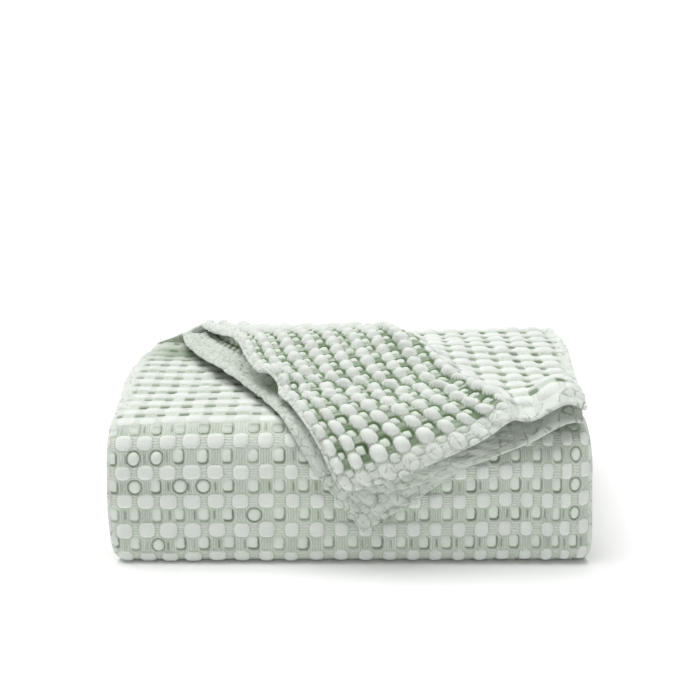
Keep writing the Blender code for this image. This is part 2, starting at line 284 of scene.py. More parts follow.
@dataclass(frozen=True)
class Weave:
    """The pillow weave: chains of raised pillows, ribs between them, and a bump in each pit.

    The cells, heights and lifts are in metres, and the rest is in cells or in shares of a pucker's half. A
    pair that ends in _place is a middle and a width, and one in _edge, _ends, _lift or _columns is where
    something eases in or out. The pairs of depths and green_chance are a least value, and how much the
    strength of green and painted shade, or chance, adds to it. The depths are those of painted shade in
    the creases. Each use of chance adds a number of its own to the seed.
    """

    chain_cell: float = 0.01105
    row_cell: float = 0.01348
    seed: float = 3.0
    wander: Pair = (0.10, 0.09)
    wander_rate: Pair = (0.23, 0.21)
    jitter: float = 0.10
    narrow_columns: Pair = (-13.0, -4.0)
    last_top_row: float = -6.0
    popped_share: float = 0.06
    popped_hem_share: float = 0.40
    popped_drawn_share: float = 0.60
    popped_height: float = 0.0044
    popped_half: Pair = (0.60, 0.50)
    popped_power: float = 2.1
    popped_size: float = 0.90
    # A thin ring of painted shade round a popped bump
    popped_ring: float = 0.85
    ring_place: Pair = (0.97, 0.10)
    pit_power: float = 3.8
    pit_edge: Pair = (0.86, 1.10)
    bump_power: float = 3.4
    bump_dome: float = 0.6
    bump_edge: float = 0.35
    # The gap round a bump, darkened with painted shade
    gap_edge: Pair = (0.88, 1.10)
    gap_hem_loss: float = 0.8
    gap_depth: Pair = (0.45, 0.50)
    # Short strokes of painted shade across the ribbed cells
    stroke_shift: float = 0.55
    stroke_width: float = 0.080
    stroke_ends: Pair = (0.20, 0.42)
    stroke_chance: Pair = (0.15, 0.75)
    stroke_depth: float = 0.80
    # A painted highlight along the rails beside the ribbed cells
    rail_place: Pair = (0.53, 0.055)
    rail_ends: Pair = (0.40, 0.60)
    rail_share: float = 0.7
    waist_half: float = 0.48
    pillow_edge: Pair = (0.88, 1.06)
    pillow_lift: Pair = (-0.0012, 0.0004)
    # A line of painted shade round each pillow, and a painted highlight on its rim
    seam_place: Pair = (1.03, 0.07)
    seam_depth: Pair = (0.26, 0.30)
    seam_pillow_loss: float = 0.8
    rim_place: Pair = (0.90, 0.07)
    rib_pale_loss: float = 0.8
    green_share: float = 0.62
    green_chance: Pair = (0.3, 1.1)
    green_hem_loss: float = 0.9

    def relief(self, chain: Array, row: Array, lay: Lay, hem: Array) -> Masks:
        """Work out the puckers of the cloth.

        Args:
            chain: Places along the chains of pillows, in cells.
            row: Places across the chains, in cells.
            lay: How the weave sits.
            hem: How much each point is in the hem, from 0 to 1.

        Returns:
            The weave's height over the cloth's base, and its masks.
        """
        lie = LIES[lay]
        first, second = self.wander_rate
        bend = self.wander[0] * drift(chain * first, row * first, self.seed)
        row = row + self.wander[1] * drift(chain * second, row * second, self.seed + 5.0)
        chain = chain + bend
        i = np.floor(chain + 0.5)
        j = np.floor(row + 0.5)
        cells = [self.cell(chain, row, i + di, j + dj, lay, hem) for di in (-1, 0, 1) for dj in (-1, 0, 1)]
        most = Cell(*[np.maximum.reduce(values) for values in zip(*cells)])
        reach = -most.pillow_nearness
        from_chain = np.abs(row - 2.0 * np.round(row / 2.0))
        waist = np.exp(-(from_chain / self.waist_half) ** 4)
        ground = lie.ground_height + (lie.waist_height - lie.ground_height) * waist
        ground = ground + (lie.pit_floor - ground) * most.pit + most.bump_lift
        pillow = fade(reach, *self.pillow_edge) * ease(most.pillow_lift - ground, *self.pillow_lift)
        beside = 1.0 - pillow
        open_ground = beside * (1.0 - most.pit)
        marked = 1.0 - lie.paleness
        ribs = open_ground * (1.0 - self.rib_pale_loss * lie.paleness)
        # Painted shade: a line round each pillow, the rings and gaps round the bumps, and strokes across the
        # ribs.
        seam = self.seam_depth[0] + self.seam_depth[1] * lie.green_and_shade_strength
        seam = marked * seam * bell(reach, *self.seam_place) * (1.0 - self.seam_pillow_loss * pillow)
        crease_shade = np.maximum(most.ring * beside, seam)
        crease_shade = np.maximum(crease_shade, self.stroke_depth * most.stroke * beside * marked)
        # A painted highlight on each pillow's rim and on the rails beside the ribs.
        rim = bell(reach, *self.rim_place) * pillow + self.rail_share * most.rail_highlight * open_ground
        # The cloth's green between the chains, varying by cell, deepened by painted shade in the pits.
        dyed = self.green_chance[0] + self.green_chance[1] * chance(i, j, self.seed + 9.0)
        green = self.green_share * open_ground * (1.0 - waist) * dyed + most.pit * (1.0 - most.bump)
        green = lie.green_and_shade_strength * green * (1.0 - self.green_hem_loss * hem)
        return Masks(
            height=np.maximum(ground, most.pillow_lift), pillow=pillow * lie.whiteness,
            bump=most.bump * beside * lie.bump_paleness, rib_along=ribs * waist,
            rib_across=ribs * (1.0 - waist), crease_shade=crease_shade, rim=rim * marked,
            green=np.clip(green, 0.0, 1.0) * beside, pale=np.full_like(chain, lie.paleness))

    def cell(self, chain: Array, row: Array, i: Array, j: Array, lay: Lay, hem: Array) -> Cell:
        """Work out what one cell near each point gives to it.

        Args:
            chain: Places along the chains of pillows, in cells.
            row: Places across the chains, in cells.
            i: The cell's number along the chains, for each point.
            j: The cell's number across the chains, for each point.
            lay: How the weave sits.
            hem: How much each point is in the hem, from 0 to 1.

        Returns:
            Its pillow, pit, bump and ribs. Pillows lie in the even cells, and pits in the odd ones.
        """
        lie = LIES[lay]
        even_i = np.mod(i, 2.0) < 0.5
        even_j = np.mod(j, 2.0) < 0.5
        off = [chance(i, j, self.seed + number) - 0.5 for number in (1.0, 2.0, 3.0, 4.0)]
        size = 1.0 + lie.unevenness * 0.5 * off[0]
        rise = 1.0 + lie.unevenness * off[1]
        dx = chain - i - self.jitter * off[2]
        dy = row - j - self.jitter * off[3]
        half_x = lie.pillow_half[0] * (1.0 - lie.narrowing * ease(i, *self.narrow_columns))
        reach = self.reach(dx, dy, (half_x, lie.pillow_half[1]), lie.pillow_power, size)
        pillow_reach = np.where(even_i & even_j, reach, np.inf)
        dome = np.clip(1.0 - pillow_reach ** lie.pillow_flatness, 0.0, 1.0) ** lie.pillow_dome
        is_pit = ~even_i & ~even_j
        popped = is_pit & self.popped(i, j, lay, hem)
        half = (np.where(popped, self.popped_half[0], lie.pit_half[0]),
                np.where(popped, self.popped_half[1], lie.pit_half[1]))
        power = np.where(popped, self.popped_power, self.pit_power)
        reach = np.where(is_pit, self.reach(dx, dy, half, power, size), np.inf)
        # The bump leans to the left and up, or down in the top rows, which leaves a gap beside it.
        # The gap gets painted shade.
        lean = np.where(popped, 0.0, 1.0)
        lean_y = lie.bump_lean[1] * np.where(j > self.last_top_row, lean, -lean)
        leaning = self.reach(dx + lie.bump_lean[0] * lean, dy + lean_y, half, power, size)
        leaning = leaning / np.where(popped, self.popped_size, lie.bump_size)
        inside = np.where(is_pit, np.clip(1.0 - leaning ** self.bump_power, 0.0, 1.0), 0.0)
        bump_height = np.where(popped, self.popped_height, lie.bump_height) * rise
        cover = ease(inside, 0.0, self.bump_edge) * (popped | (lie.bump_height > 0.0))
        # Painted shade in the gap round a bump that does not fill its pit.
        gap = fade(reach, *self.gap_edge) * (1.0 - cover) * (1.0 - self.gap_hem_loss * hem)
        gap = gap * (self.gap_depth[0] + self.gap_depth[1] * chance(i, j, self.seed + 10.0))
        is_ribbed = even_i & ~even_j
        # Short strokes of painted shade across the ribbed cells.
        aside = dx - self.stroke_shift * (chance(i, j, self.seed + 7.0) - 0.5)
        stroke = bell(aside, 0.0, self.stroke_width) * fade(np.abs(dy), *self.stroke_ends)
        stroke = stroke * ease(chance(i, j, self.seed + 8.0), *self.stroke_chance)
        # A painted highlight along the rails beside the ribbed cells.
        rail_highlight = bell(np.abs(dx), *self.rail_place) * fade(np.abs(dy), *self.rail_ends)
        # A popped bump gets a thin ring of painted shade in place of the gap.
        return Cell(
            pillow_nearness=-pillow_reach, pillow_lift=dome * lie.pillow_height * rise,
            pit=fade(reach, *self.pit_edge), bump_lift=inside ** self.bump_dome * bump_height, bump=cover,
            ring=np.where(popped, self.popped_ring * bell(reach, *self.ring_place), gap),
            stroke=np.where(is_ribbed, stroke, 0.0), rail_highlight=np.where(is_ribbed, rail_highlight, 0.0))

    def mixed(self, chain: Array, row: Array, lays: Tuple[Lay, Lay], share: Array, hem: Array) -> Masks:
        """Work out the puckers where one way of lying turns into another.

        Args:
            chain: Places along the chains of pillows, in cells.
            row: Places across the chains, in cells.
            lays: The two ways that the weave sits.
            share: How much it sits the second way, from 0 to 1.
            hem: How much each point is in the hem, from 0 to 1.

        Returns:
            The weave's height and masks.
        """
        first = self.relief(chain, row, lays[0], hem)
        if lays[0] is lays[1]:
            return first
        second = self.relief(chain, row, lays[1], hem)
        return Masks(*[a * (1.0 - share) + b * share for a, b in zip(first, second)])

    def popped(self, i: Array, j: Array, lay: Lay, hem: Array) -> Array:
        """Tell which cells have a bump that has popped out round.

        Args:
            i: The cells' numbers along the chains.
            j: The cells' numbers across the chains.
            lay: How the weave sits.
            hem: How much each point is in the hem, from 0 to 1.

        Returns:
            Those in POPPED where the weave is taut, none where it is flat, and else some by chance, with more
            of them in the hem.
        """
        if lay is Lay.DRAWN:
            return (hem > 0.5) & (chance(i, j, self.seed + 6.0) < self.popped_drawn_share)
        if lay is Lay.LOOSE:
            return chance(i, j, self.seed + 6.0) < self.popped_share + self.popped_hem_share * hem
        found = np.zeros(i.shape, dtype=bool)
        for column, line in POPPED if lay is Lay.TAUT else ():
            found |= (i == column) & (j == line)
        return found

    def reach(self, dx: Array, dy: Array, half: Tuple[Array, Array], power: Array, size: Array) -> Array:
        """How far out a point lies in a rounded square: 0 at its middle and 1 on its outline."""
        across = np.abs(dx / (half[0] * size)) ** power
        return (across + np.abs(dy / (half[1] * size)) ** power) ** (1.0 / power)


class Hem(NamedTuple):
    """How a hem shows: its width in metres, and how much of the relief and of the press lines it has."""

    width: float
    relief: float
    pressed: float


@dataclass
class Ply:
    """A stretch of the cloth: its middle surface, outward normals, weave places and distance from its edges.

    The weave sits the first way where share is 0 and the second way where it is 1. Detail fades its relief
    where the grid is too coarse for it, and depth is the painted green shade of the deep hollows.
    """

    centre: Array
    normal: Array
    chain: Array
    row: Array
    edge: Array
    lays: Tuple[Lay, Lay]
    share: Array
    hem: Hem
    detail: Array
    # Painted green shade of the deep hollows, from 0 to 1
    depth: Array


@dataclass(frozen=True)
class CottonFinish:
    """Washed cotton double cloth, woven in pillows. Pitches and sizes are in metres."""

    roughness: float = 0.93
    ior: float = 1.46
    specular: float = 0.20
    sheen: Pair = (0.10, 0.55)
    rib_pitch: float = 0.0024
    rib_sharpness: float = 2.2
    rib_share: float = 0.22
    thread_pitch: float = 0.0012
    crinkle_size: float = 0.0060
    hem_patch: float = 0.0160
    hem_bend: float = 0.007
    hem_bend_scale: float = 120.0
    hem_line: Pair = (0.010, 0.055)
    hem_break: Pair = (0.41, 0.60)
    hem_depth: float = 0.60
    cloud_scale: float = 38.0
    cloud_spread: Pair = (0.3, 0.7)
    cloud_shade: Pair = (0.95, 1.03)
    crinkle_bump: Pair = (0.50, 0.0010)
    rib_bump: Pair = (0.70, 0.0006)
    thread_bump: Pair = (0.30, 0.0002)

    def material(self) -> bpy.types.Material:
        """Make the cloth's material.

        Returns:
            The material, whose patterns follow the cloth through its own attributes.
        """
        made = bpy.data.materials.new("washed_cotton_pillow_weave")
        made.use_nodes = True
        tree = made.node_tree
        shader = tree.nodes["Principled BSDF"]
        # Cotton: matt, with a faint sheen from its fuzz.
        shader.inputs["Roughness"].default_value = self.roughness
        shader.inputs["IOR"].default_value = self.ior
        shader.inputs["Specular IOR Level"].default_value = self.specular
        shader.inputs["Sheen Weight"].default_value = self.sheen[0]
        shader.inputs["Sheen Roughness"].default_value = self.sheen[1]
        whole = {name: add_node(tree, "ShaderNodeAttribute", {"attribute_name": name}, {}).outputs
                 for name in ("tone", "marks", "pale_and_shade", "weave_place")}
        tone, marks, pale_and_shade = [
            add_node(tree, "ShaderNodeSeparateColor", {}, {"Color": whole[name]["Color"]}).outputs
            for name in ("tone", "marks", "pale_and_shade")]
        place = whole["weave_place"]["Vector"]
        ribs = self.ribs(tree, place, tone["Blue"], marks["Red"])
        ribbed = add_node(tree, "ShaderNodeMath", {"operation": "MULTIPLY"}, {0: ribs, 1: self.rib_share})
        pressed = self.hem_lines(tree, place, whole["marks"]["Alpha"])
        # The valleys show more of the cloth's green than the pillow tops, and painted shade deepens it in
        # the pits. The pillows' rims get a painted highlight; the creases, hem press lines and rib grooves
        # get painted shade, and the deep hollows between the plies painted green shade.
        colour = linear(Hue.GROUND.value)
        for hue, share in (
                (Hue.PALE, pale_and_shade["Red"]), (Hue.TROUGH_GREEN_AND_SHADE, marks["Blue"]), (Hue.BUMP, tone["Green"]),
                (Hue.PILLOW, tone["Red"]), (Hue.RIM_HIGHLIGHT, marks["Green"]), (Hue.HEM, whole["marks"]["Alpha"]),
                (Hue.CREASE, ribbed.outputs["Value"]), (Hue.CREASE, pressed),
                (Hue.CREASE, whole["tone"]["Alpha"]), (Hue.DEPTH, pale_and_shade["Green"])):
            mixed = add_node(
                tree, "ShaderNodeMix", {"data_type": "RGBA"},
                {"Factor": share, MIX_FIRST: colour, MIX_SECOND: linear(hue.value)})
            colour = mixed.outputs[MIX_RESULT]
        # Uneven take-up of the dye over a few centimetres.
        cloud = add_node(
            tree, "ShaderNodeTexNoise", {}, {"Vector": place, "Scale": self.cloud_scale, "Detail": 3.0})
        veil = add_node(
            tree, "ShaderNodeMapRange", {},
            {"Value": cloud.outputs["Fac"], "From Min": self.cloud_spread[0],
             "From Max": self.cloud_spread[1], "To Min": self.cloud_shade[0], "To Max": self.cloud_shade[1]})
        shade = add_node(
            tree, "ShaderNodeVectorMath", {"operation": "SCALE"},
            {0: colour, "Scale": veil.outputs["Result"]})
        tree.links.new(shade.outputs["Vector"], shader.inputs["Base Color"])
        tree.links.new(self.bumps(tree, place, ribs), shader.inputs["Normal"])
        return made

    def ribs(self, tree: Tree, place: Socket, across: Socket, along: Socket) -> Socket:
        """Draw the ribs that join the pillows, both ways of the cloth.

        Args:
            tree: The material's nodes.
            place: The place on the cloth, in metres.
            across: Mask of the ribs that run across the chains.
            along: Mask of the ribs that run along the chains.

        Returns:
            The ribs' dark lines, painted shade in the grooves between them, from 0 to 1.
        """
        # The real ribs are under a millimetre apart, too fine to show, so they are drawn as coarse as needed.
        scale = math.pi / 10.0 / self.rib_pitch
        masked = []
        for direction, mask in (("X", across), ("Y", along)):
            wave = add_node(
                tree, "ShaderNodeTexWave", {"wave_type": "BANDS", "bands_direction": direction},
                {"Vector": place, "Scale": scale, "Distortion": 4.0, "Detail": 2.0, "Detail Scale": 2.2})
            line = add_node(
                tree, "ShaderNodeMath", {"operation": "POWER"},
                {0: wave.outputs["Fac"], 1: self.rib_sharpness})
            masked.append(add_node(
                tree, "ShaderNodeMath", {"operation": "MULTIPLY"}, {0: line.outputs["Value"], 1: mask}))
        both = add_node(
            tree, "ShaderNodeMath", {"operation": "MAXIMUM"},
            {0: masked[0].outputs["Value"], 1: masked[1].outputs["Value"]})
        return both.outputs["Value"]

    def hem_lines(self, tree: Tree, place: Socket, hem: Socket) -> Socket:
        """Draw the thin pressed-in creases of the hem, as lines of painted shade.

        Args:
            tree: The material's nodes.
            place: The place on the cloth, in metres.
            hem: Mask of the hem.

        Returns:
            The creases, from 0 to 1.
        """
        bend = add_node(
            tree, "ShaderNodeTexNoise", {}, {"Vector": place, "Scale": self.hem_bend_scale, "Detail": 2.0})
        bent = add_node(
            tree, "ShaderNodeVectorMath", {"operation": "MULTIPLY_ADD"},
            {0: bend.outputs["Color"], 1: (self.hem_bend, self.hem_bend, 0.0), 2: place})
        cells = add_node(
            tree, "ShaderNodeTexVoronoi", {"feature": "DISTANCE_TO_EDGE"},
            {"Vector": bent.outputs["Vector"], "Scale": 1.0 / self.hem_patch})
        share = hem
        for value, ends, low, high in (
                (cells.outputs["Distance"], self.hem_line, 1.0, 0.0),
                (bend.outputs["Fac"], self.hem_break, 0.0, self.hem_depth)):
            eased = add_node(
                tree, "ShaderNodeMapRange", {"interpolation_type": "SMOOTHSTEP"},
                {"Value": value, "From Min": ends[0], "From Max": ends[1], "To Min": low, "To Max": high})
            held = add_node(
                tree, "ShaderNodeMath", {"operation": "MULTIPLY"}, {0: eased.outputs["Result"], 1: share})
            share = held.outputs["Value"]
        return share

    def bumps(self, tree: Tree, place: Socket, ribs: Socket) -> Socket:
        """Make the fine relief: crinkles, ribs and threads.

        Args:
            tree: The material's nodes.
            place: The place on the cloth, in metres.
            ribs: The dark lines between the ribs.

        Returns:
            The bumped normal's socket.
        """
        # The threads are a few tenths of a millimetre thick, too fine to show, so they are drawn coarser.
        threads = add_node(
            tree, "ShaderNodeTexNoise", {},
            {"Vector": place, "Scale": 1.0 / self.thread_pitch, "Detail": 2.0, "Roughness": 0.6})
        crinkle = add_node(
            tree, "ShaderNodeTexNoise", {},
            {"Vector": place, "Scale": 1.0 / self.crinkle_size, "Detail": 3.0, "Distortion": 0.8})
        links = {}
        for height, bump, sunk in (
                (crinkle.outputs["Fac"], self.crinkle_bump, False), (ribs, self.rib_bump, True),
                (threads.outputs["Fac"], self.thread_bump, False)):
            raised = add_node(
                tree, "ShaderNodeBump", {"invert": sunk},
                {"Strength": bump[0], "Distance": bump[1], "Height": height, **links})
            links = {"Normal": raised.outputs["Normal"]}
        return links["Normal"]


def add_node(tree: Tree, kind: str, settings: Dict[str, object],
             inputs: Dict[object, object]) -> bpy.types.Node:
    """Add a node with its settings and links.

    Args:
        tree: The tree that it is added to.
        kind: The node's type.
        settings: The node's own properties.
        inputs: A socket to link or a value to set, by the input's name or number.

    Returns:
        The new node.
    """
    node = tree.nodes.new(kind)
    for name, value in settings.items():
        setattr(node, name, value)
    for name, value in inputs.items():
        if isinstance(value, Socket):
            tree.links.new(value, node.inputs[name])
        else:
            node.inputs[name].default_value = value
    return node


@dataclass
class ClothShell:
    """Turns a ply into a closed, puckered sheet. Lengths are in metres."""

    weave: Weave
    material: bpy.types.Material
    base: float = 0.0012
    under_share: float = 0.25
    lip: float = 0.0016
    deepest: float = -0.0016
    hem_fade: Pair = (0.70, 1.20)
    hem_puff: float = 0.0005
    wrinkle: float = 0.0007
    wrinkle_rates: Pair = (1.3, 2.9)
    wrinkle_share: float = 0.6
    edge_wave: float = 0.0013
    edge_wave_rate: float = 0.9
    edge_wave_width: float = 0.014
    # Strengths of the painted crease shade and of the painted rim highlight
    crease_depth: float = 0.88
    crease_loss: Pair = (0.08, 0.30)
    rim_share: float = 0.6
    hem_share: Pair = (0.60, 0.30)

    def build(self, name: str, ply: Ply, flat: Pair) -> bpy.types.Object:
        """Args:
            name: The piece's name.
            ply: Its middle surface and weave.
            flat: Its cut size, in metres. Not used.

        Returns:
            The piece.
        """
        hem = fade(ply.edge, ply.hem.width * self.hem_fade[0], ply.hem.width * self.hem_fade[1])
        masks = self.weave.mixed(ply.chain, ply.row, ply.lays, ply.share, hem)
        out = 1.0 - np.clip(ply.edge / self.lip, 0.0, 1.0)
        lip = np.sqrt(np.clip(1.0 - out * out, 0.0, 1.0))
        broad, close = self.wrinkle_rates
        wrinkle = drift(ply.chain * broad, ply.row * broad, 21.0)
        wrinkle = wrinkle + self.wrinkle_share * drift(ply.chain * close, ply.row * close, 22.0)
        puff = masks.height * (1.0 - (1.0 - ply.hem.relief) * hem)
        puff = (puff + (self.wrinkle * wrinkle + self.hem_puff) * hem) * ply.detail
        over = (self.base + np.maximum(puff, self.deepest)) * lip
        under = (self.base + self.under_share * np.maximum(puff, 0.0)) * lip
        wave = drift(ply.chain * self.edge_wave_rate, ply.row * self.edge_wave_rate, 31.0)
        wave = self.edge_wave * wave * fade(ply.edge, 0.0, self.edge_wave_width)
        centre = ply.centre + ply.normal * (wave * ply.detail)[..., None]
        top = centre + ply.normal * over[..., None]
        low = centre - ply.normal * under[..., None]
        top[..., 2] = np.maximum(top[..., 2], FLOOR_GAP)
        piece = self.mesh(name, top, low[::COARSE, ::COARSE], self.attributes(ply, masks, hem))
        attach(piece, BODY)
        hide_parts(CLOTH_NODE)
        return piece

    def attributes(self, ply: Ply, masks: Masks, hem: Array) -> Dict[str, Array]:
        """Gather what the material reads at each point.

        Args:
            ply: The ply.
            masks: The weave's masks.
            hem: How much each point is in the hem, from 0 to 1.

        Returns:
            The values by attribute. Tone holds the pillows, bumps, ribs across the chains and the
            creases' painted shade. Marks hold the ribs along the chains, the rims' painted highlight, the
            cloth's green deepened by painted shade, and the hem. The third holds the pale ground and the
            painted green shade of the deep hollows. The weave's place is in metres.
        """
        flat = 1.0 - hem
        none = np.zeros_like(ply.row)
        loss, hemmed = [(least + more * ply.hem.pressed) * hem
                        for least, more in (self.crease_loss, self.hem_share)]
        # The ply's painted green shade in the deep hollows
        depth = np.broadcast_to(ply.depth, none.shape)
        found = {
            "tone": (masks.pillow, masks.bump, masks.rib_across * flat,
                     masks.crease_shade * (self.crease_depth - loss) * ply.detail),
            "marks": (masks.rib_along * flat, masks.rim * flat * self.rim_share, masks.green, hemmed),
            "pale_and_shade": (masks.pale, depth, none, none + 1.0),
            "weave_place": (ply.chain * self.weave.chain_cell, ply.row * self.weave.row_cell, none),
        }
        return {name: np.stack(values, axis=2) for name, values in found.items()}

    def mesh(self, name: str, top: Array, low: Array, attributes: Dict[str, Array]) -> bpy.types.Object:
        """Join a fine outer face and a coarser inner face into one closed body.

        Args:
            name: The piece's name.
            top: Points of the outer face.
            low: Points of the inner face.
            attributes: Values for the material over the outer face, by attribute.

        Returns:
            The piece, at the origin.
        """
        upper = np.arange(top.shape[0] * top.shape[1]).reshape(top.shape[:2])
        lower = upper.size + np.arange(low.shape[0] * low.shape[1]).reshape(low.shape[:2])
        quads = [self.quads(upper), self.quads(lower)[:, ::-1]]
        rims = [
            self.rim(upper[:, 0], lower[:, 0], False),
            self.rim(upper[:, -1], lower[:, -1], True),
            self.rim(upper[0, :], lower[0, :], True),
            self.rim(upper[-1, :], lower[-1, :], False),
        ]
        faces = np.concatenate(quads).tolist() + np.concatenate(rims).tolist()
        made = bpy.data.meshes.new(name)
        made.from_pydata(np.concatenate([top.reshape(-1, 3), low.reshape(-1, 3)]).tolist(), [], faces)
        if self.volume(made) < 0.0:
            made.flip_normals()
        for label, values in attributes.items():
            width = values.shape[2]
            coarse = values[::COARSE, ::COARSE]
            every = np.concatenate([values.reshape(-1, width), coarse.reshape(-1, width)])
            kind, part = ("FLOAT_COLOR", "color") if width == 4 else ("FLOAT_VECTOR", "vector")
            made.attributes.new(label, kind, "POINT").data.foreach_set(part, every.ravel())
        made.materials.append(self.material)
        made.shade_smooth()
        piece = bpy.data.objects.new(name, made)
        bpy.context.scene.collection.objects.link(piece)
        return piece

    def quads(self, ids: Array) -> Array:
        """Four-sided faces over a grid of point numbers."""
        return np.stack([ids[:-1, :-1], ids[:-1, 1:], ids[1:, 1:], ids[1:, :-1]], axis=2).reshape(-1, 4)

    def rim(self, fine: Array, coarse: Array, turned: bool) -> Array:
        """Triangles between a fine edge and a coarse one.

        Args:
            fine: Point numbers along the outer face's edge.
            coarse: Point numbers along the inner face's edge, one to every few of the fine ones.
            turned: Whether the triangles face the other way.

        Returns:
            The triangles.
        """
        start = coarse[:-1]
        end = coarse[1:]
        middle = COARSE // 2
        sides = [np.stack([fine[middle:-1:COARSE], end, start], axis=1)]
        for k in range(COARSE):
            near = start if k < middle else end
            sides.append(np.stack([fine[k:-1:COARSE], fine[k + 1::COARSE], near], axis=1))
        faces = np.concatenate(sides)
        return faces[:, ::-1] if turned else faces

    def volume(self, made: bpy.types.Mesh) -> float:
        """Signed volume of a closed mesh."""
        made.calc_loop_triangles()
        corners = np.zeros(len(made.loop_triangles) * 3, dtype=np.int32)
        made.loop_triangles.foreach_get("vertices", corners)
        points = np.zeros(len(made.vertices) * 3)
        made.vertices.foreach_get("co", points)
        a, b, c = points.reshape(-1, 3)[corners.reshape(-1, 3)].transpose(1, 0, 2)
        return float(np.einsum("ij,ij->i", a, np.cross(b, c)).sum() / 6.0)


class Stretch(NamedTuple):
    """A named stretch of the pair's path, by its first and last point."""

    first: int
    last: int


class Span(NamedTuple):
    """A part of a stretch to build: its name, its step in metres, and the shares where it starts and ends."""

    name: str
    step: float
    start: float = 0.0
    end: float = 1.0


class Side(NamedTuple):
    """How far the cloth reaches to the left and right, at a distance along the ply from the corner's root."""

    along: float
    left: float
    right: float


# The ply that is on top in the corner and inside the wrap of the stack, and the one below it and outside
INNER = 1.0
OUTER = -1.0

# How the hems show on the stack and on its front, and on the corner's upper and lower plies
STACK_HEM = Hem(0.013, 0.5, 0.0)
FRONT_HEM = Hem(0.004, 0.5, 0.0)
UPPER_HEM = Hem(0.013, 0.5, 0.2)
LOWER_HEM = Hem(0.028, 0.16, 1.0)

# Columns of the weave on the stack, by their place across
COLUMN_PLACES = (-0.2350, -0.2047, -0.1650, -0.0983, -0.0086, 0.0784, 0.1402, 0.1790, 0.2128, 0.2350)
COLUMN_NUMBERS = (-21.0, -18.0, -14.0, -8.0, 0.0, 8.0, 14.0, 18.0, 22.0, 24.6)


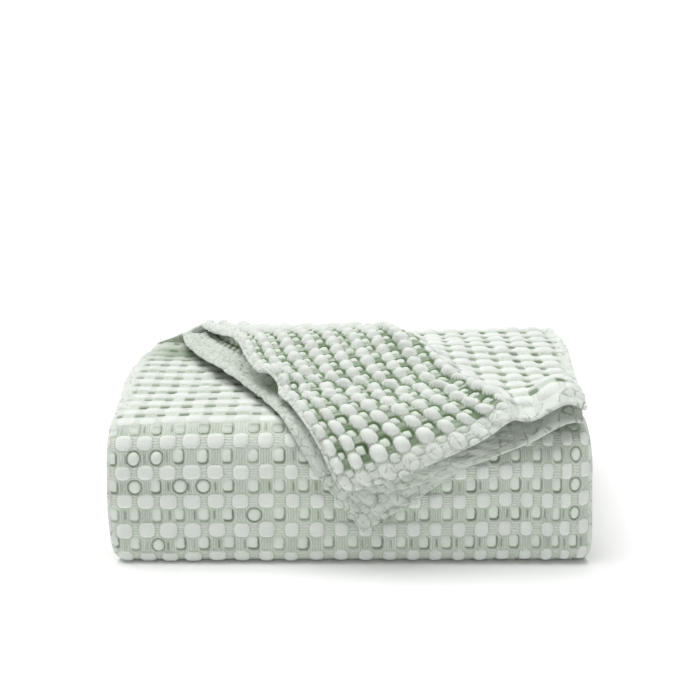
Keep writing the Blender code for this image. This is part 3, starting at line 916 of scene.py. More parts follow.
@dataclass
class FoldedStack:
    """The stack of plies, which repeats the solid's construction at a fine step.

    Lengths are in metres. The pairs of the mound and the hollow are a middle and a width, and the others are
    the places between which something eases in or out.
    """

    back_y: float
    weave: Weave
    depth: float = 0.370
    height: float = 0.128
    pairs: int = 6
    ply_pitch: float = 0.0110
    ply_thickness: float = 0.0070
    roll_radius: float = 0.030
    foot_radius: float = 0.016
    front_setback: float = 0.0220
    back_setback: float = 0.0030
    inner_setback: float = 0.0030
    turn_steps: int = 24
    run_steps: int = 12
    fold_reach: float = 0.030
    fold_along: float = 2.20
    foot_bulge: float = 0.0045
    foot_spread: float = 1.6
    side_round: float = 0.0045
    side_round_width: float = 0.016
    side_round_power: float = 1.5
    side_round_least: float = 0.35
    sway: float = 0.0020
    sway_length: float = 0.310
    sway_phase: float = 0.8
    mound: float = 0.006
    mound_x: Pair = (-0.020, 0.110)
    mound_length: float = 0.100
    belly: float = 0.0025
    belly_length: float = 0.700
    belly_phase: float = 0.6
    droop: float = 0.010
    droop_y: Pair = (0.030, 0.185)
    droop_x: Pair = (-0.230, -0.080)
    row_tilt: float = 0.676
    row_tilt_x: float = -0.165
    foot_rows: float = 0.30
    foot_rows_start: float = 0.98
    foot_rows_length: float = 0.018
    taut_from: Pair = (0.02, 0.46)
    coarse_steps: Pair = (0.0028, 0.0060)
    hollow_x: Pair = (-0.185, 0.032)
    hollow_along: Pair = (0.045, 0.040)
    hollow_dip: float = 0.0040
    # How strongly the hollow is painted with green shade
    hollow_shade: float = 0.75
    sides: Tuple[Side, ...] = (
        Side(0.000, 0.2160, 0.2200),
        Side(0.100, 0.2280, 0.2220),
        Side(0.180, 0.2290, 0.2200),
        Side(0.260, 0.2240, 0.2180),
        Side(0.328, 0.2210, 0.2180),
        Side(0.384, 0.2215, 0.2200),
        Side(0.430, 0.2218, 0.2215),
        Side(0.455, 0.2190, 0.2215),
        Side(0.482, 0.2125, 0.2185),
        Side(0.800, 0.2130, 0.2160),
        Side(1.000, 0.2180, 0.2190),
        Side(1.200, 0.2150, 0.2160),
        Side(1.400, 0.2185, 0.2190),
        Side(1.700, 0.2150, 0.2170),
        Side(2.000, 0.2180, 0.2190),
        Side(2.400, 0.2150, 0.2160),
    )
    path: Array = field(default_factory=lambda: np.zeros((0, 2)))
    stretches: Dict[str, Stretch] = field(default_factory=dict)

    def __post_init__(self) -> None:
        """Trace the path of the pair of plies."""
        self.half_pair = (self.ply_pitch + self.ply_thickness) / 2.0
        self.front_y = self.back_y - self.depth
        self.turn = self.ply_pitch
        self.back_turn_y = self.back_y - self.turn - self.half_pair
        self.outer_roll = self.roll_radius + self.half_pair
        self.trace()

    def level(self, number: int) -> float:
        """Height of the middle of a pair of plies."""
        return self.half_pair + number * 2.0 * self.ply_pitch

    def arc(self, centre: Pair, radius: float, start: float, sweep: float) -> List[Pair]:
        """Points along an arc, without its first one."""
        angles = [math.radians(start + sweep * k / self.turn_steps) for k in range(1, self.turn_steps + 1)]
        return [(centre[0] + radius * math.cos(a), centre[1] + radius * math.sin(a)) for a in angles]

    def straight(self, start: Pair, end: Pair) -> List[Pair]:
        """Points along a straight run, without its first one."""
        shares = [k / self.run_steps for k in range(1, self.run_steps + 1)]
        return [(start[0] + (end[0] - start[0]) * t, start[1] + (end[1] - start[1]) * t) for t in shares]

    def trace(self) -> None:
        """Lay out the pair's path and note where each stretch of it begins and ends."""
        top = self.level(self.pairs - 1)
        bottom = self.level(0)
        pair_y = self.front_y + self.half_pair
        path = [(self.back_turn_y, top + 2.0 * self.ply_pitch)]
        marks = {}

        def add(name: str, points: List[Pair]) -> None:
            """Add a named stretch to the path."""
            first = len(path) - 1
            path.extend(points)
            marks[name] = Stretch(first, len(path) - 1)

        add("back_turn", self.arc((self.back_turn_y, top + self.turn), self.turn, 90.0, -180.0))
        roll_y = pair_y + self.roll_radius
        foot_y = pair_y + self.foot_radius
        add("top_run", self.straight(path[-1], (roll_y, top)))
        add("roll", self.arc((roll_y, top - self.roll_radius), self.roll_radius, 90.0, 90.0))
        add("front_run", self.straight(path[-1], (pair_y, bottom + self.foot_radius)))
        add("foot", self.arc((foot_y, bottom + self.foot_radius), self.foot_radius, 180.0, 90.0))
        add("floor_run", self.straight(path[-1], (self.back_turn_y, bottom)))
        inner_front = self.front_y + self.front_setback + self.turn + self.half_pair
        inner_back = self.back_turn_y - self.back_setback
        for number in range(self.pairs - 2):
            at_back = number % 2 == 0
            turn_y = (self.back_turn_y if number == 0 else inner_back) if at_back else inner_front
            if number > 0:
                add("run_%d" % number, self.straight(path[-1], (turn_y, self.level(number))))
            sweep = 180.0 if at_back else -180.0
            centre = (turn_y, self.level(number) + self.turn)
            add("turn_%d" % number, self.arc(centre, self.turn, -90.0, sweep))
        add("last_run", self.straight(path[-1], (inner_back, path[-1][1])))
        self.path = np.array(path)
        self.stretches = marks

    def ply_line(self, side: float) -> Tuple[Array, Array]:
        """The middle line of one ply of the pair.

        Args:
            side: INNER for the ply that is on top in the corner, OUTER for the one below it.

        Returns:
            Its points in YZ and its normals, which point away from the other ply.
        """
        tangent = np.gradient(self.path, axis=0)
        tangent /= np.linalg.norm(tangent, axis=1)[:, None]
        normal = np.stack([-tangent[:, 1], tangent[:, 0]], axis=1)
        normal[0] = (0.0, 1.0)
        return self.path + normal * side * self.ply_pitch / 2.0, normal * side

    def place(self, side: float, name: str, share: float) -> float:
        """Distance along a ply of a share of a named stretch."""
        along = distances(self.ply_line(side)[0])
        stretch = self.stretches[name]
        return float(along[stretch.first] + (along[stretch.last] - along[stretch.first]) * share)

    def strip(self, side: float, at: Array) -> Tuple[Array, Array, Array]:
        """Read one ply's middle line.

        Args:
            side: Which ply.
            at: Distances along it.

        Returns:
            Points in YZ, normals, and the position along the path in points.
        """
        line, normal = self.ply_line(side)
        along = distances(line)
        points = np.stack([np.interp(at, along, line[:, k]) for k in (0, 1)], axis=1)
        normals = np.stack([np.interp(at, along, normal[:, k]) for k in (0, 1)], axis=1)
        normals /= np.linalg.norm(normals, axis=1)[:, None]
        return points, normals, np.interp(at, along, np.arange(len(along)))

    def reach(self, along: Array, shares: Array, setback: float) -> Array:
        """Places across the cloth.

        Args:
            along: Distances along the ply.
            shares: Shares across, from -1 at the left edge to 1 at the right edge.
            setback: How much shorter the ply reaches on either side.

        Returns:
            The x of every station and share.
        """
        knots = [side.along for side in self.sides]
        left = hermite(knots, [side.left for side in self.sides], along)[:, None] - setback
        right = hermite(knots, [side.right for side in self.sides], along)[:, None] - setback
        return -left + (left + right) * (shares[None, :] + 1.0) / 2.0

    def uneven(self, grid: Array) -> Array:
        """The soft sway of a hand-folded stack, as in the solid.

        Args:
            grid: Points of an even ply.

        Returns:
            The points, moved more the higher they lie.
        """
        x = grid[..., 0]
        y = grid[..., 1] - (self.back_y - self.depth / 2.0)
        height = np.clip(grid[..., 2] / self.height, 0.0, 1.0)
        wave = 2.0 * math.pi / self.sway_length
        sway = self.sway * np.sin(wave * x + self.sway_phase) * np.cos(wave * y)
        mound = self.mound * bell(x, *self.mound_x) * bell(y, 0.0, self.mound_length)
        belly = self.belly * np.sin(2.0 * math.pi / self.belly_length * x + self.belly_phase)
        belly = belly * np.sin(math.pi * height) * ease(-y, 0.0, self.depth / 2.0)
        droop = self.droop * ease(y, *self.droop_y) * ease(x, *self.droop_x)
        return grid + np.stack([np.zeros_like(x), -belly, height ** 2 * (sway + mound - droop)], axis=-1)

    def ply(self, side: float, spans: Sequence[Span], across: Array, hem: Hem) -> Ply:
        """Build the middle surface of a stretch of the stack.

        Args:
            side: Which ply of the pair.
            spans: The stretches to build, end to end.
            across: Shares across the cloth, from -1 to 1.
            hem: How its hem shows.

        Returns:
            The ply.
        """
        at = chain_places(*[
            spread(self.place(side, span.name, span.start), self.place(side, span.name, span.end), span.step)
            for span in spans])
        points, normals, _ = self.strip(side, at)
        return self.sheet(points, normals, at, across, hem, side, self.row_phase(side))

    def mid_fold(self, across: Array, step: float) -> Ply:
        """Build the fold that joins the two plies in the middle of the stack.

        Args:
            across: Shares across the cloth, from -1 to 1.
            step: Step along the cloth, in metres.

        Returns:
            The ply.
        """
        ends = []
        for side in (OUTER, INNER):
            end = self.place(side, "last_run", 1.0)
            ends.append(self.strip(side, spread(end - self.fold_reach, end, step))[:2])
        (first, first_normals), (second, second_normals) = ends
        forward = (first[-1] - first[-2]) / np.linalg.norm(first[-1] - first[-2])
        angles = spread(0.0, math.pi, step / (self.ply_pitch / 2.0))[:, None]
        bend = first_normals[-1][None, :] * np.cos(angles) + forward[None, :] * np.sin(angles)
        arc = (first[-1] + second[-1]) / 2.0 + bend * self.ply_pitch / 2.0
        points = np.concatenate([first, arc[1:], second[::-1][1:]])
        normals = np.concatenate([first_normals, bend[1:], second_normals[::-1][1:]])
        return self.sheet(points, normals, distances(points) + self.fold_along, across, STACK_HEM, INNER, 0.0)

    def sheet(self, points: Array, normals: Array, at: Array, across: Array, hem: Hem, side: float,
              phase: float) -> Ply:
        """Spread a line in YZ across the cloth.

        Args:
            points: The line's points.
            normals: The line's normals.
            at: Distances along the ply, for the cloth's reach and weave.
            across: Shares across the cloth.
            hem: How its hem shows.
            side: Which ply of the pair. The outer one wraps the stack.
            phase: Offset of the weave's rows, in cells.

        Returns:
            The ply.
        """
        outer = side == OUTER
        x = self.reach(at, across, 0.0 if outer else self.inner_setback)
        edge = np.minimum(x - x[:, :1], x[:, -1:] - x)
        wide = np.ones_like(x)
        centre = np.stack([x, points[:, :1] * wide, points[:, 1:] * wide], axis=2)
        normal = np.stack([0.0 * wide, normals[:, :1] * wide, normals[:, 1:] * wide], axis=2)
        if outer:
            foot = (at - self.place(OUTER, "foot", 0.5)) / (2.0 * self.foot_radius)
            bulge = self.foot_bulge * np.exp(-foot * foot * self.foot_spread)
            rounding = self.side_round * fade(edge, 0.0, self.side_round_width) ** self.side_round_power
            least = self.side_round_least
            rounding = rounding * (least + (1.0 - least) * np.abs(normals[:, :1]))
            centre = centre + normal * (bulge[:, None] - rounding)[..., None]
        centre = self.uneven(centre)
        chain = hermite(COLUMN_PLACES, COLUMN_NUMBERS, x)
        row = (at / self.weave.row_cell)[:, None] * wide + phase
        detail = fade(np.abs(np.gradient(x, axis=1)), *self.coarse_steps)
        if not outer:
            return Ply(centre, normal, chain, row, edge, (Lay.TAUT, Lay.TAUT), np.zeros(1), hem, detail,
                       np.zeros(1))
        # The rows rise a little to the right, and crowd together where the front turns under.
        foot = self.place(OUTER, "front_run", self.foot_rows_start)
        row = row + (self.foot_rows * ease(at, foot, foot + self.foot_rows_length))[:, None]
        row = row + self.row_tilt * (x - self.row_tilt_x)
        share = ease(at, *[self.place(OUTER, "roll", part) for part in self.taut_from])[:, None]
        # A dip at the back left of the top, where the corner lifts away, painted with green shade.
        along = (at - self.place(OUTER, "top_run", 0.0))[:, None]
        hollow = bell(x, *self.hollow_x) * bell(along, *self.hollow_along)
        centre[..., 2] -= self.hollow_dip * hollow
        return Ply(centre, normal, chain, row, edge, (Lay.FLAT, Lay.TAUT), share, hem, detail,
                   self.hollow_shade * hollow)

    def row_phase(self, side: float) -> float:
        """Offset of the rows, so that row 0 lies at the known height on the front."""
        line, _ = self.ply_line(side)
        along = distances(line)
        front = slice(self.stretches["front_run"].first, self.stretches["front_run"].last + 1)
        row_0 = np.interp(PILLOW_ROW_HEIGHT, line[front, 1][::-1], along[front][::-1])
        return float(-row_0 / self.weave.row_cell)


class Row(NamedTuple):
    """A row of the corner: across (x) and along (s) places of its left hem, its ridge and its right hem."""

    hem_x: float
    hem_s: float
    ridge_x: float
    ridge_s: float
    side_x: float
    side_s: float


class Column(NamedTuple):
    """A column of the cloth: its share across the stack, and its place across the corner."""

    stack: float
    corner: float


UPPER_ROWS = (
    Row(-0.168, 0.020, -0.004, 0.020, 0.228, 0.020),
    Row(-0.146, 0.100, 0.022, 0.110, 0.230, 0.100),
    Row(-0.120, 0.172, 0.048, 0.185, 0.2265, 0.170),
    Row(-0.099, 0.248, 0.082, 0.259, 0.222, 0.225),
    Row(-0.075, 0.310, 0.112, 0.316, 0.218, 0.275),
    Row(-0.050, 0.346, 0.130, 0.342, 0.2155, 0.310),
    Row(-0.027, 0.374, 0.138, 0.354, 0.214, 0.332),
    Row(-0.006, 0.406, 0.143, 0.362, 0.213, 0.350),
)
LOWER_ROWS = (
    Row(-0.190, 0.020, -0.004, 0.020, 0.226, 0.020),
    Row(-0.174, 0.095, 0.022, 0.110, 0.2275, 0.100),
    Row(-0.150, 0.160, 0.048, 0.185, 0.224, 0.170),
    Row(-0.109, 0.244, 0.078, 0.262, 0.220, 0.235),
    Row(-0.080, 0.305, 0.098, 0.320, 0.216, 0.285),
    Row(-0.056, 0.355, 0.106, 0.352, 0.2135, 0.320),
    Row(-0.023, 0.402, 0.104, 0.376, 0.212, 0.338),
    Row(0.012, 0.447, 0.100, 0.388, 0.211, 0.354),
)
COLUMNS = (
    Column(-1.00, 0.00),
    Column(-0.90, 0.14),
    Column(-0.82, 0.26),
    Column(-0.58, 0.50),
    Column(-0.32, 0.76),
    Column(-0.06, 1.00),
    Column(0.18, 1.20),
    Column(0.42, 1.42),
    Column(0.64, 1.62),
    Column(0.82, 1.80),
    Column(0.90, 1.90),
    Column(1.00, 2.00),
)


@dataclass
class PulledCorner:
    """The two plies of the corner that is pulled forward over the stack.

    Lengths are in metres. A pair that ends in _s lies along the corner from the back edge, one in _x across
    it, and one in _in from the left hem. It is a middle and a width, or the places between which a form eases
    in or out.
    """

    stack: FoldedStack
    left_hem_share: float = 2.4
    front_hem_share: float = 0.62
    chain_cell: float = 0.0085
    row_cell: float = 0.0115
    side_chain_cell: float = 0.0113
    side_row_cell: float = 0.0145
    first_chain: float = 0.0078
    second_chain: float = 0.0240
    first_pillow: float = 0.0090
    row_count: int = 400
    root_gap: float = 0.0015
    root_gap_s: Pair = (0.020, 0.080)
    bulk_along: Tuple[float, ...] = (0.00, 0.06, 0.13, 0.19, 0.25, 0.33, 0.37, 0.60)
    bulk_rise: Tuple[float, ...] = (0.000, 0.006, 0.016, 0.022, 0.014, 0.001, 0.000, 0.000)
    bulk_fade: float = 0.050
    bulk_least: float = 0.35
    ridge_rise: float = 0.0090
    ridge_s: Pair = (0.130, 0.230)
    ridge_tip_rise: float = 0.0080
    ridge_tip_s: Pair = (0.300, 0.360)
    ridge_half_width: float = 0.0150
    ridge_seam: Pair = (0.0043, 0.0055)
    ridge_seam_s: Pair = (0.050, 0.150)
    ridge_smoothness: float = 0.8
    arch_rises: Pair = (0.0170, 0.0120)
    arch_x: Pair = (0.191, 0.020)
    arch_s: Pair = (0.270, 0.335)
    pleat_rise: float = 0.0090
    pleat_s: Pair = (0.292, 0.014)
    pleat_in: Pair = (0.004, 0.022)
    pleat_shift: float = 0.0090
    shift_s: Pair = (0.305, 0.014)
    shift_in: Pair = (0.0, 0.040)
    # The lower ply's painted green shade: all over, under the upper ply's pleat, and at the corner's root
    lower_shade: float = 0.18
    lower_shade_s: Pair = (0.000, 0.060)
    pleat_shade: float = 0.80
    pleat_shade_s: Pair = (0.285, 0.022)
    pleat_shade_in: Pair = (0.030, 0.060)
    shade_in: Pair = (0.008, 0.020)
    root_shade: float = 0.45
    root_shade_s: Pair = (-0.010, 0.020)
    root_shade_x: Pair = (-0.190, -0.160)
    turn_ends: Pair = (0.98, 0.14)
    coarse_steps: Pair = (0.0026, 0.0050)
    measured_to: float = 0.60
    measured_count: int = 601
    measured_from_ridge: float = 0.070
    measured_from_hem: float = 0.090

    def places(self, rows: Sequence[Row], at: Array, columns: Array) -> Tuple[Array, Array]:
        """Places across and along for each row position and column."""
        knots = np.arange(len(rows), dtype=float)
        named = {name: hermite(knots, [getattr(row, name) for row in rows], at)[:, None]
                 for name in Row._fields}
        left = np.clip(columns, 0.0, 1.0)[None, :]
        right = np.clip(columns - 1.0, 0.0, 1.0)[None, :]
        found = []
        for letter in "xs":
            hem, ridge, side = [named[part + letter] for part in ("hem_", "ridge_", "side_")]
            found.append(hem + (ridge - hem) * left + (side - ridge) * right)
        return found[0], found[1]

    def raised(self, x: Array, s: Array, high: Array) -> Array:
        """Points at a height over the stack's outside, by their places across and from the back edge."""
        stack = self.stack
        flat = stack.depth - stack.outer_roll
        angle = np.clip((s - flat) / stack.outer_roll, 0.0, math.pi / 2.0)
        down = np.maximum(s - flat - stack.outer_roll * math.pi / 2.0, 0.0)
        y = stack.back_y - np.minimum(s, flat) - (stack.outer_roll + high) * np.sin(angle)
        z = stack.height - stack.outer_roll + (stack.outer_roll + high) * np.cos(angle) - down
        return np.stack([x, y, z], axis=-1)

    def ridge_line(self, s: Array) -> Array:
        """Where the ridge lies across, by the distance from the back edge."""
        return np.interp(s, [row.ridge_s for row in UPPER_ROWS], [row.ridge_x for row in UPPER_ROWS])

    def lift(self, x: Array, s: Array, upper: bool, first_x: Array) -> Array:
        """Height of a ply's middle over the stack's outside.

        Args:
            x: Places across.
            s: Places along.
            upper: Whether it is the upper ply.
            first_x: The left hem's place across, for each row.

        Returns:
            The height in metres.
        """
        stack = self.stack
        clear = stack.level(stack.pairs) - stack.height - self.root_gap * ease(s, *self.root_gap_s)
        beyond = x - self.ridge_line(s)
        bulk = np.maximum(hermite(self.bulk_along, self.bulk_rise, s), 0.0)
        bulk = bulk * fade(beyond, 0.0, self.bulk_fade)
        arch = bell(x, *self.arch_x) * ease(s, *self.arch_s)
        if upper:
            tip = self.ridge_tip_rise * ease(s, *self.ridge_tip_s)
            ridge = self.ridge_rise * ease(s, *self.ridge_s) + tip
            ridge = ridge * bell(beyond, 0.0, self.ridge_half_width)
            pleat = self.pleat_rise * bell(s, *self.pleat_s) * bell(x - first_x, *self.pleat_in)
            return clear + stack.ply_pitch / 2.0 + bulk + ridge + self.arch_rises[0] * arch + pleat
        share = self.bulk_least + (1.0 - self.bulk_least) * ease(x - first_x, 0.0, self.bulk_fade)
        return clear - stack.ply_pitch / 2.0 + bulk * share + self.arch_rises[1] * arch

    def ply(self, upper: bool, row_step: float, columns: Array, turn_step: float) -> Ply:
        """Build one ply of the corner with its turn over the back edge.

        Args:
            upper: Whether it is the upper ply.
            row_step: Step between rows, in metres.
            columns: Column places, from 0 at the left hem through 1 at the ridge to 2 at the right hem.
            turn_step: Step around the back turn, in metres.

        Returns:
            The ply.
        """
        rows = UPPER_ROWS if upper else LOWER_ROWS
        fine = np.linspace(0.0, len(rows) - 1.0, self.row_count)
        length = distances(np.concatenate(self.places(rows, fine, np.zeros(1)), axis=1))
        at = np.interp(with_lip(spread(length[-1], 0.0, row_step), True, False), length, fine)
        x, s = self.places(rows, at, columns)
        if upper:
            x = x + self.pleat_shift * bell(s, *self.shift_s) * fade(x - x[:, :1], *self.shift_in)
        flap = self.raised(x, s, self.lift(x, s, upper, x[:, :1]))
        turn, turn_x, turn_s = self.back_turn(rows, INNER if upper else OUTER, columns, turn_step)
        centre = self.stack.uneven(np.concatenate([flap, turn[1:]]))
        x = np.concatenate([x, turn_x[1:]])
        s = np.concatenate([s, turn_s[1:]])
        normal = np.cross(np.gradient(centre, axis=1), np.gradient(centre, axis=0))
        normal /= -np.linalg.norm(normal, axis=2)[..., None]
        if normal[0, 0, 1] > 0.0:
            normal = -normal
        chain, row = self.weave_places(centre, x, s, upper)
        edge = self.edges(centre, self.left_hem_share if upper else 1.0)
        # The relief is smoothed along the ridge, where the weave turns.
        beyond = x - self.ridge_line(s)
        smooth = self.ridge_smoothness * bell(beyond, *self.ridge_seam) * ease(s, *self.ridge_seam_s)
        detail = fade(np.linalg.norm(np.gradient(centre, axis=1), axis=2), *self.coarse_steps)
        detail = detail * (1.0 - smooth)
        share = np.where(beyond > self.ridge_seam[0], 1.0, 0.0)
        # The lower ply gets painted green shade; the upper one gets none.
        depth = np.zeros(1) if upper else self.shadow(x, s)
        hem = UPPER_HEM if upper else LOWER_HEM
        return Ply(centre, normal, chain, row, edge, (Lay.LOOSE, Lay.DRAWN), share, hem, detail, depth)

    def shadow(self, x: Array, s: Array) -> Array:
        """The painted green shade of the lower ply, most under the upper one's pleat and at the corner's
        root.

        Args:
            x: Places across.
            s: Places along.

        Returns:
            The painted shade, from 0 to 1.
        """
        beside = x - x[:, :1]
        pleat = bell(s, *self.pleat_shade_s) * ease(beside, *self.shade_in)
        pleat = pleat * fade(beside, *self.pleat_shade_in)
        depth = self.lower_shade + (self.pleat_shade - self.lower_shade) * pleat
        # Painted green shade on the face that turns over the back edge, at the corner's root.
        root = self.root_shade * fade(s, *self.root_shade_s) * fade(x, *self.root_shade_x)
        return depth * ease(s, *self.lower_shade_s) + root

    def back_turn(self, rows: Sequence[Row], side: float, columns: Array,
                  step: float) -> Tuple[Array, Array, Array]:
        """Build the stretch of a corner ply that turns over the back edge and into the stack.

        Args:
            rows: The ply's rows.
            side: Which ply of the pair.
            columns: Column places.
            step: Step along it, in metres.

        Returns:
            Its points, and its places across and along.
        """
        stack = self.stack
        # The lower ply stops in the turn, and the upper one goes on below the top.
        name, part = ("back_turn", self.turn_ends[0]) if side == OUTER else ("top_run", self.turn_ends[1])
        at = spread(0.0, stack.place(side, name, part), step)
        points, _, position = stack.strip(side, at)
        share = fade(position, 0.0, float(stack.stretches["back_turn"].last))
        across = np.interp(columns, *zip(*[(column.corner, column.stack) for column in COLUMNS]))
        root = self.places(rows, np.zeros(1), columns)[0]
        x = stack.reach(at, across, 0.0)
        x = x + (root - x) * share[:, None]
        wide = np.ones_like(x)
        grid = np.stack([x, points[:, :1] * wide, points[:, 1:] * wide], axis=2)
        return grid, x, (rows[0].hem_s - at)[:, None] * wide

    def cloth_length(self, s: Array, upper: bool) -> Array:
        """Length of cloth from the back edge, which is more than s where the ply is lifted over a bend."""
        steps = np.linspace(0.0, self.measured_to, self.measured_count)
        x = self.ridge_line(steps) - self.measured_from_ridge
        line = self.raised(x, steps, self.lift(x, steps, upper, x - self.measured_from_hem))
        return np.where(s < 0.0, s, np.interp(s, steps, distances(line[:, 1:])))

    def weave_places(self, centre: Array, x: Array, s: Array, upper: bool) -> Tuple[Array, Array]:
        """Where the weave's cells fall.

        Args:
            centre: The ply's middle surface.
            x: Places across.
            s: Places along.
            upper: Whether it is the upper ply.

        Returns:
            The chain and row places: along the hems left of the ridge, and straight right of it.
        """
        right = x - self.ridge_line(s) > self.ridge_seam[0]
        across = self.measured(centre, 1)
        hem_chain = (self.measured(centre, 0) - self.first_pillow) / self.chain_cell
        near_hem = np.minimum(across, self.second_chain)
        hem_row = 2.0 * (near_hem - self.first_chain) / (self.second_chain - self.first_chain)
        hem_row = hem_row + np.maximum(across - self.second_chain, 0.0) / self.row_cell
        straight_row = self.cloth_length(s, upper) / self.side_row_cell
        return np.where(right, x / self.side_chain_cell, hem_chain), np.where(right, straight_row, hem_row)

    def measured(self, centre: Array, axis: int) -> Array:
        """Distance over a grid of points, along its first or second axis."""
        steps = np.linalg.norm(np.diff(centre, axis=axis), axis=2)
        return np.insert(np.cumsum(steps, axis=axis), 0, 0.0, axis=axis)

    def edges(self, centre: Array, left_share: float) -> Array:
        """Distance of each point from the nearest free edge.

        Args:
            centre: The ply's middle surface.
            left_share: How much more the distance from the left hem counts, because it shows narrower.

        Returns:
            The distances in metres. The front hem counts less, because it shows wider.
        """
        across = self.measured(centre, 1)
        sides = np.minimum(left_share * across, across[:, -1:] - across)
        return np.minimum(sides, self.front_hem_share * self.measured(centre, 0))


# Steps along the cloth: where it shows, where it is hidden and straight, and where it is hidden and turns
SHOWN_STEP = 0.00125
RUN_STEP = 0.0030
TURN_STEP = 0.0020
# Where one piece stops and the next starts, as shares of the stretch: at the front's top and at its bottom,
# before and after a fold at the back, and inside the stack behind the corner
FRONT_FROM = 0.92
FLOOR_FROM = 0.05
FOLD_FROM = 0.90
FOLD_TO = 0.10
WRAP_FROM = 0.14


class Piece(NamedTuple):
    """A piece of the stack: its name, which ply it is of, its stretches, places across, hem and cut size."""

    name: str
    side: float
    spans: Sequence[Span]
    across: Array
    hem: Hem
    flat: Pair


def stack_pieces(evenly: Array) -> List[Piece]:
    """List the stack's pieces in the order in which they are built.

    Args:
        evenly: Even shares across the cloth, for the pieces at the floor and the back.

    Returns:
        The pieces, each of which starts where the one before it on its ply stops.
    """
    # The steps across are shares too. The left of the top shows, and its right lies under the corner.
    top = with_lip(chain_places(spread(-1.0, -0.05, 0.0056), spread(-0.05, 1.0, 0.030)))
    front = with_lip(spread(-1.0, 1.0, 0.0046))
    # Only the side edges of the inner plies show.
    inner = with_lip(chain_places(
        spread(-1.0, -0.88, 0.0110), spread(-0.88, 0.88, 0.110), spread(0.88, 1.0, 0.0110)))
    wrap = [
        Span("top_run", RUN_STEP, WRAP_FROM), Span("roll", 0.0025), Span("front_run", RUN_STEP),
        Span("foot", 0.0025), Span("floor_run", RUN_STEP), Span("turn_0", 0.0012)]
    for number in (1, 2, 3):
        wrap += [Span("run_%d" % number, RUN_STEP), Span("turn_%d" % number, TURN_STEP)]
    wrap.append(Span("last_run", RUN_STEP, 0.0, FOLD_FROM))
    return [
        Piece("stack_top", OUTER, [Span("top_run", SHOWN_STEP, 0.0, FRONT_FROM)],
              top, STACK_HEM, (0.44, 0.29)),
        Piece("stack_front", OUTER, [
            Span("top_run", 0.00105, FRONT_FROM), Span("roll", 0.00100), Span("front_run", 0.00095),
            Span("foot", 0.00105), Span("floor_run", 0.0025, 0.0, FLOOR_FROM)],
              front, FRONT_HEM, (0.44, 0.20)),
        Piece("stack_floor", OUTER, [
            Span("floor_run", 0.0060, FLOOR_FROM, FOLD_FROM), Span("floor_run", 0.0020, FOLD_FROM),
            Span("turn_0", 0.0018), Span("run_1", RUN_STEP, 0.0, FOLD_TO)],
              evenly, STACK_HEM, (0.44, 0.40)),
        Piece("stack_inner_a", INNER, wrap, inner, STACK_HEM, (0.43, 2.10)),
        Piece("stack_inner_b", OUTER, [
            Span("run_1", RUN_STEP, FOLD_TO), Span("turn_1", TURN_STEP),
            Span("run_2", RUN_STEP, 0.0, FOLD_FROM)],
              inner, STACK_HEM, (0.43, 0.60)),
        Piece("stack_back_fold", OUTER, [
            Span("run_2", RUN_STEP, FOLD_FROM), Span("turn_2", TURN_STEP),
            Span("run_3", RUN_STEP, 0.0, FOLD_TO)],
              evenly, STACK_HEM, (0.43, 0.11)),
        Piece("stack_inner_c", OUTER, [
            Span("run_3", RUN_STEP, FOLD_TO), Span("turn_3", TURN_STEP),
            Span("last_run", RUN_STEP, 0.0, FOLD_FROM)],
              inner, STACK_HEM, (0.43, 0.55)),
    ]


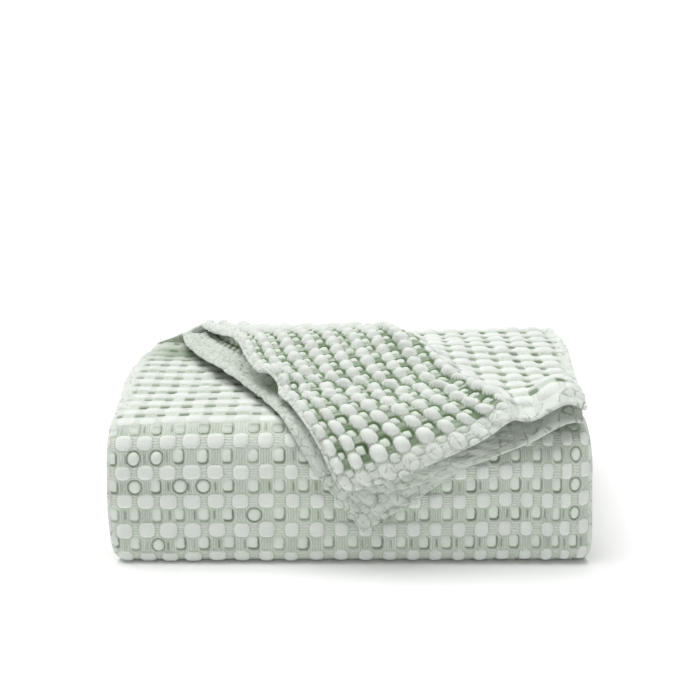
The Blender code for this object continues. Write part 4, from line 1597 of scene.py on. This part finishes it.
@dataclass
class Studio:
    """The camera, a soft light and a plain white floor. Lengths are in metres."""

    front_y: float
    distance: float = 1.248
    eye_height: float = 0.509
    pitch: float = math.radians(13.8)
    lens: float = 74.75
    sensor_width: float = 36.0
    sky: float = 0.35
    key_energy: float = 2.7
    key_angle: float = math.radians(60.0)
    key_direction: Tuple[float, float, float] = (0.16, -0.10, -1.0)
    floor_size: float = 600.0
    floor_z: float = -0.0005
    floor_roughness: float = 0.9
    floor_glow: float = 0.03

    def build(self) -> None:
        """Make the camera, the lights and the floor."""
        camera = bpy.data.cameras.new("camera")
        camera.lens = self.lens
        camera.sensor_width = self.sensor_width
        eye = bpy.data.objects.new("camera", camera)
        bpy.context.scene.collection.objects.link(eye)
        eye.location = (0.0, self.front_y - self.distance, self.eye_height)
        eye.rotation_euler = (math.pi / 2.0 - self.pitch, 0.0, 0.0)
        bpy.context.scene.camera = eye
        bpy.context.scene.view_settings.view_transform = "Standard"
        self.floor()
        self.key()
        world = bpy.data.worlds.new("studio")
        world.use_nodes = True
        world.node_tree.nodes["Background"].inputs["Color"].default_value = (1.0, 1.0, 1.0, 1.0)
        world.node_tree.nodes["Background"].inputs["Strength"].default_value = self.sky
        bpy.context.scene.world = world

    def key(self) -> None:
        """Add the soft key light, high up and a little behind the throw to the left."""
        light = bpy.data.lights.new("soft_key", "SUN")
        light.energy = self.key_energy
        light.angle = self.key_angle
        lamp = bpy.data.objects.new("soft_key", light)
        bpy.context.scene.collection.objects.link(lamp)
        lamp.rotation_euler = Vector(self.key_direction).to_track_quat("-Z", "Y").to_euler()

    def floor(self) -> None:
        """Lay a seamless white floor."""
        bpy.ops.mesh.primitive_plane_add(size=self.floor_size, location=(0.0, 0.0, self.floor_z))
        floor = bpy.context.object
        floor.name = "floor"
        # Matt white studio paper, which glows a little so that it comes out plain white.
        paper = bpy.data.materials.new("matt_white_paper")
        paper.use_nodes = True
        shader = paper.node_tree.nodes["Principled BSDF"]
        shader.inputs["Base Color"].default_value = linear(Hue.FLOOR.value)
        shader.inputs["Roughness"].default_value = self.floor_roughness
        shader.inputs["Emission Color"].default_value = linear(Hue.FLOOR.value)
        shader.inputs["Emission Strength"].default_value = self.floor_glow
        floor.data.materials.append(paper)


def main() -> None:
    """Build the studio and the throw: the corner's two plies, and then the stack."""
    logging.basicConfig(level=logging.INFO)
    weave = Weave()
    stack = FoldedStack(back_y=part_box(CLOTH_NODE)[1].y, weave=weave)
    corner = PulledCorner(stack)
    shell = ClothShell(weave, CottonFinish().material())
    Studio(front_y=stack.front_y).build()
    columns = with_lip(chain_places(spread(0.0, 1.0, 0.0076), spread(1.0, 2.0, 0.0115)))
    shell.build("corner_upper", corner.ply(True, SHOWN_STEP, columns, 0.0018), (0.40, 0.52))
    columns = with_lip(chain_places(spread(0.0, 0.45, 0.0080), spread(0.45, 2.0, 0.0190)))
    shell.build("corner_lower", corner.ply(False, SHOWN_STEP, columns, 0.0030), (0.42, 0.52))
    evenly = with_lip(spread(-1.0, 1.0, 0.0100))
    for piece in stack_pieces(evenly):
        shell.build(piece.name, stack.ply(piece.side, piece.spans, piece.across, piece.hem), piece.flat)
    shell.build("stack_mid_fold", stack.mid_fold(evenly, 0.0018), (0.43, 0.08))


if __name__ == "__main__":
    main()
